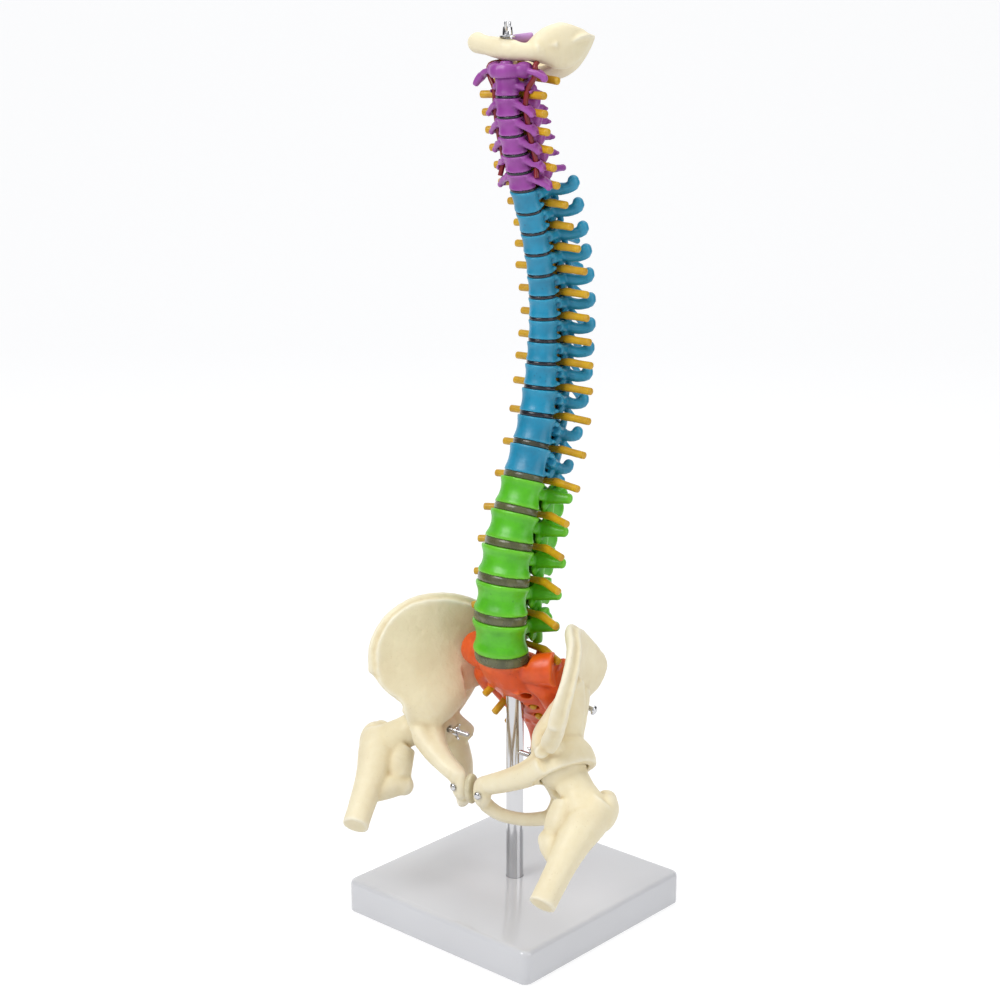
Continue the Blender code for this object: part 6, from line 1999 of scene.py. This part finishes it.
@dataclass
class Stand:
    """Square gloss board, chromed tube and what joins them."""

    foundry: Foundry
    side: float = 124.0
    height: float = 17.3
    corner: float = 4.5
    edge: float = 2.5
    foot_edge: float = 0.8
    tube_radius: float = 4.5
    tube_wall: float = 0.8
    tube_seat: float = 8.0
    tube_top: float = 118.0
    stud_radius: float = 2.0
    shank: float = 1.6

    def make_board(self) -> None:
        """Builds the board with soft corners and a hole for the tube."""
        clay = Clay()
        bm = clay.bm
        bmesh.ops.create_cube(bm, size=1.0, matrix=Matrix.Translation((0, 0, 0.5)))
        bmesh.ops.scale(bm, vec=(self.side, self.side, self.height), verts=bm.verts)
        upright = [edge for edge in bm.edges if abs(edge.verts[0].co.z - edge.verts[1].co.z) > 1.0]
        round_edges(bm, upright, self.corner, 8)
        rim = [edge for edge in bm.edges if min(vert.co.z for vert in edge.verts) > self.height - 0.1]
        round_edges(bm, rim, self.edge, 6)
        foot = [edge for edge in bm.edges if max(vert.co.z for vert in edge.verts) < 0.1]
        round_edges(bm, foot, self.foot_edge, 3)
        obj = self.foundry.body_from("gloss_base", clay)
        hole = Clay()
        line = [(0, 0, self.height - self.tube_seat), (0, 0, self.height + 5.0)]
        hole.limb(line, [self.tube_radius + 0.12] * 2, sides=48)
        cut = obj.modifiers.new("seat", "BOOLEAN")
        cut.operation = "DIFFERENCE"
        cut.solver = "EXACT"
        cut.object = self.foundry.tool("tube_seat", hole)
        self.foundry.bake(obj)
        obj.data.shade_smooth()
        obj.data.set_sharp_from_angle(angle=math.radians(35.0))
        self.foundry.issue(obj, BOARD, "base_plate")

    def make_tube(self) -> None:
        """Builds the tube, open at its top, with the screw in its foot and the stud in its end."""
        clay = Clay()
        clay.turned(threaded(self.shank, 3.0, 15.3, 0.8, 0.14), 28)
        piece = self.foundry.machined("tube_foot_screw", clay)
        self.foundry.issue(piece, CHROME, "tube_screw")
        foot = self.height - self.tube_seat + GAP
        inner = self.tube_radius - self.tube_wall
        clay = Clay()
        clay.turned(
            [(self.shank + GAP, foot), (self.tube_radius - 0.4, foot), (self.tube_radius, foot + 0.4),
             (self.tube_radius, self.tube_top - 0.3), (self.tube_radius - 0.3, self.tube_top),
             (inner + 0.2, self.tube_top), (inner, self.tube_top - 0.2), (inner, foot + 7.0),
             (self.shank + GAP, foot + 7.0)], 64,
        )
        piece = self.foundry.machined("bright_tube", clay, 25.0)
        self.foundry.issue(piece, CHROME, "support_tube")
        clay = Clay()
        top = self.tube_top
        nut = [(0, top - 8.0), (self.stud_radius, top - 8.0), (self.stud_radius, top + GAP),
               (3.5, top + GAP), (3.7, top + GAP + 0.25), (3.7, top + 2.75), (3.5, top + 3.0),
               (self.stud_radius, top + 3.0)]
        ridges = threaded(self.stud_radius, top + 3.0, top + 13.4, 0.8, 0.16)[2:]
        clay.turned(nut + ridges, 32)
        piece = self.foundry.machined("tube_end_stud", clay)
        self.foundry.issue(piece, CHROME, "tube_top_stud")


# Studio


@dataclass
class Studio:
    """Pale floor that runs up behind the model, soft lamps and the camera.

    Attributes:
        camera_place: Place of the camera in metres.
        pitch: Degrees that it looks down.
        azimuth: Degrees that it is turned from looking along +Y.
        lens: Focal length for a 36 mm wide picture.
        cards: Turn from the camera in degrees, distance and width in metres of each dark card.
    """

    camera_place: Point = (0.594124, -0.675552, 0.444558)
    pitch: float = 13.997
    azimuth: float = 41.82
    lens: float = 66.87
    key_power: float = 16.0
    fill_power: float = 6.0
    top_power: float = 8.0
    room_glow: float = 0.47
    floor_glow: float = 0.80
    cards: tuple[tuple[float, float, float], ...] = ((-96.0, 1.0, 0.8), (98.0, 1.0, 0.8), (26.0, 1.5, 0.3))

    def make_camera(self) -> None:
        """Places the camera."""
        data = bpy.data.cameras.new("photo_camera")
        data.lens = self.lens
        data.sensor_width = 36.0
        camera = bpy.data.objects.new("photo_camera", data)
        camera.location = self.camera_place
        camera.rotation_euler = (math.radians(90.0 - self.pitch), 0.0, math.radians(self.azimuth))
        bpy.context.collection.objects.link(camera)
        bpy.context.scene.camera = camera

    def make_floor(self) -> None:
        """Builds the floor with its sweep, white to the camera and with a soft shadow."""
        recipe = Recipe("paper_white")
        tree = recipe.tree
        tree.nodes.remove(recipe.shader)
        rays = [
            recipe.add("ShaderNodeLightPath", output=f"Is {kind} Ray")
            for kind in ("Camera", "Glossy", "Transmission")
        ]
        seen = recipe.between(rays[0] + rays[1] + rays[2], 0.0, 1.0)
        plain_skin = recipe.add("ShaderNodeBsdfDiffuse", inputs={"Color": (0.82, 0.82, 0.83)})
        dim = recipe.add("ShaderNodeBsdfDiffuse", inputs={"Color": (0.30, 0.30, 0.305)})
        glow = recipe.add(
            "ShaderNodeEmission", inputs={"Color": (1.0, 1.0, 1.0), "Strength": self.floor_glow}
        )
        shown = recipe.add("ShaderNodeAddShader", inputs={0: dim, 1: glow})
        both = recipe.add("ShaderNodeMixShader", inputs={0: seen, 1: plain_skin, 2: shown})
        tree.links.new(both.socket, tree.nodes["Material Output"].inputs["Surface"])
        bm = bmesh.new()
        bmesh.ops.create_grid(bm, x_segments=1, y_segments=1, size=3.0)
        far = [edge for edge in bm.edges if all(vert.co.y > 2.9 for vert in edge.verts)]
        grown = bmesh.ops.extrude_edge_only(bm, edges=far)["geom"]
        lifted = [item for item in grown if isinstance(item, Vert)]
        bmesh.ops.translate(bm, vec=(0, 0, 3.0), verts=lifted)
        round_edges(bm, far, 1.2, 12)
        turn = Matrix.Rotation(math.radians(self.azimuth), 4, "Z")
        bmesh.ops.transform(bm, matrix=turn @ Matrix.Translation((0, 0, -0.0006)), verts=bm.verts)
        self.put_up("paper_floor", bm, recipe.material).data.shade_smooth()

    def make_cards(self) -> None:
        """Stands dark cards round the model for the bright metal to mirror; they throw no shadow."""
        recipe = Recipe("card_black")
        recipe.set(base_color=(0.012, 0.012, 0.014), roughness=0.6)
        for number, (turn, away, wide) in enumerate(self.cards):
            bm = bmesh.new()
            bmesh.ops.create_grid(bm, x_segments=1, y_segments=1, size=0.5)
            angle = math.radians(self.azimuth + turn)
            frame = Matrix.Translation((away * math.sin(angle), -away * math.cos(angle), 0.5))
            frame @= Matrix.Rotation(angle, 4, "Z") @ Matrix.Rotation(math.radians(90.0), 4, "X")
            bmesh.ops.transform(bm, matrix=frame @ Matrix.Diagonal((wide, 1.6, 1, 1)), verts=bm.verts)
            card = self.put_up(f"dark_card_{number}", bm, recipe.material)
            card.visible_diffuse = False
            card.visible_shadow = False

    def put_up(self, name: str, bm: bmesh.types.BMesh, material: bpy.types.Material) -> Piece:
        """Stands a sheet of the studio in the scene.

        Args:
            name: Name of the sheet.
            bm: Its mesh in metres; it is used up.
            material: What it is made of.

        Returns:
            The sheet.
        """
        mesh = bpy.data.meshes.new(name)
        bm.to_mesh(mesh)
        bm.free()
        mesh.materials.append(material)
        sheet = bpy.data.objects.new(name, mesh)
        bpy.context.collection.objects.link(sheet)
        LOG.info("%s: %d faces", name, len(mesh.polygons))
        return sheet

    def make_lamp(self, name: str, place: Point, size: float, power: float) -> None:
        """Soft square lamp that looks at the middle of the model.

        Args:
            name: Name of the lamp.
            place: Where it stands, in metres.
            size: Side of the lamp in metres.
            power: Power in watts.
        """
        data = bpy.data.lights.new(name, "AREA")
        data.shape = "SQUARE"
        data.size = size
        data.energy = power
        lamp = bpy.data.objects.new(name, data)
        lamp.location = place
        aim = Vector((0.0, 0.0, 0.2)) - Vector(place)
        lamp.rotation_euler = aim.to_track_quat("-Z", "Y").to_euler()
        bpy.context.collection.objects.link(lamp)

    def make_light(self) -> None:
        """Places the lamps and the pale surroundings."""
        self.make_lamp("key", (-0.35, -1.25, 1.35), 0.9, self.key_power)
        self.make_lamp("fill", (1.45, 0.10, 0.75), 1.1, self.fill_power)
        self.make_lamp("top", (0.0, 0.35, 1.6), 1.2, self.top_power)
        world = bpy.data.worlds.new("pale_room")
        world.use_nodes = True
        tree = world.node_tree
        back = tree.nodes["Background"]
        back.inputs["Color"].default_value = (0.92, 0.95, 1.0, 1.0)
        back.inputs["Strength"].default_value = self.room_glow
        bright = tree.nodes.new("ShaderNodeBackground")
        bright.inputs["Color"].default_value = (1.0, 1.0, 1.0, 1.0)
        path = tree.nodes.new("ShaderNodeLightPath")
        mix = tree.nodes.new("ShaderNodeMixShader")
        tree.links.new(path.outputs["Is Camera Ray"], mix.inputs[0])
        tree.links.new(back.outputs[0], mix.inputs[1])
        tree.links.new(bright.outputs[0], mix.inputs[2])
        tree.links.new(mix.outputs[0], tree.nodes["World Output"].inputs["Surface"])
        bpy.context.scene.world = world

    def make(self) -> None:
        """Builds the whole studio."""
        self.make_camera()
        self.make_floor()
        self.make_cards()
        self.make_light()
        bpy.context.scene.view_settings.view_transform = "Standard"


def main() -> None:
    """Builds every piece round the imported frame, then the studio."""
    logging.basicConfig(level=logging.INFO, format="%(message)s")
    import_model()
    foundry = Foundry()
    column = Column()
    Studio().make()

    stand = Stand(foundry)
    stand.make_board()
    stand.make_tube()

    discs, bodies = column.lay_out()
    vertebrae = Vertebrae(column, foundry, discs, bodies)
    nerves = Nerves(column, foundry, discs, bodies)
    plate = SkullPlate(foundry)
    artery_space, stud_space = nerves.artery_space(), plate.stud_space()
    vertebrae.make(artery_space, stud_space)
    Discs(column, foundry, discs).make()
    nerves.make_nerves()
    nerves.make_arteries()
    plate.make_plate(stud_space)
    plate.make_fastening()
    plate.make_stem()

    sacrum = Sacrum(foundry, column)
    hips = HipBones(foundry)
    screws = [hips.screw_space("side_screw", side, hips.side_screw, hips.side_screw_radius) for side in Side]
    rooms = [sacrum.side_space(side, False) for side in Side]
    low, mid, high = (Vector((0, 0, z)) for z in (60.0, stand.tube_top + 3.4, stand.tube_top + 14.2))
    rooms.append(hips.rod_space("tube_room", low, mid, stand.tube_radius + 0.5))
    rooms.append(hips.rod_space("stud_room", low + Vector((0, 0, 40)), high, stand.stud_radius + GAP))
    sacrum.make(discs["L5"], [*rooms, nerves.low_nerve_space(), *screws])
    for side, screw in zip(Side, screws):
        hips.make_bone(side, [sacrum.side_space(side, True), *hips.holes(side), screw])
        hips.make_screws(side)
    hips.make_pad()
    Femurs(foundry).make()
    foundry.clear()
    LOG.info("%d pieces", foundry.count)


if __name__ == "__main__":
    main()
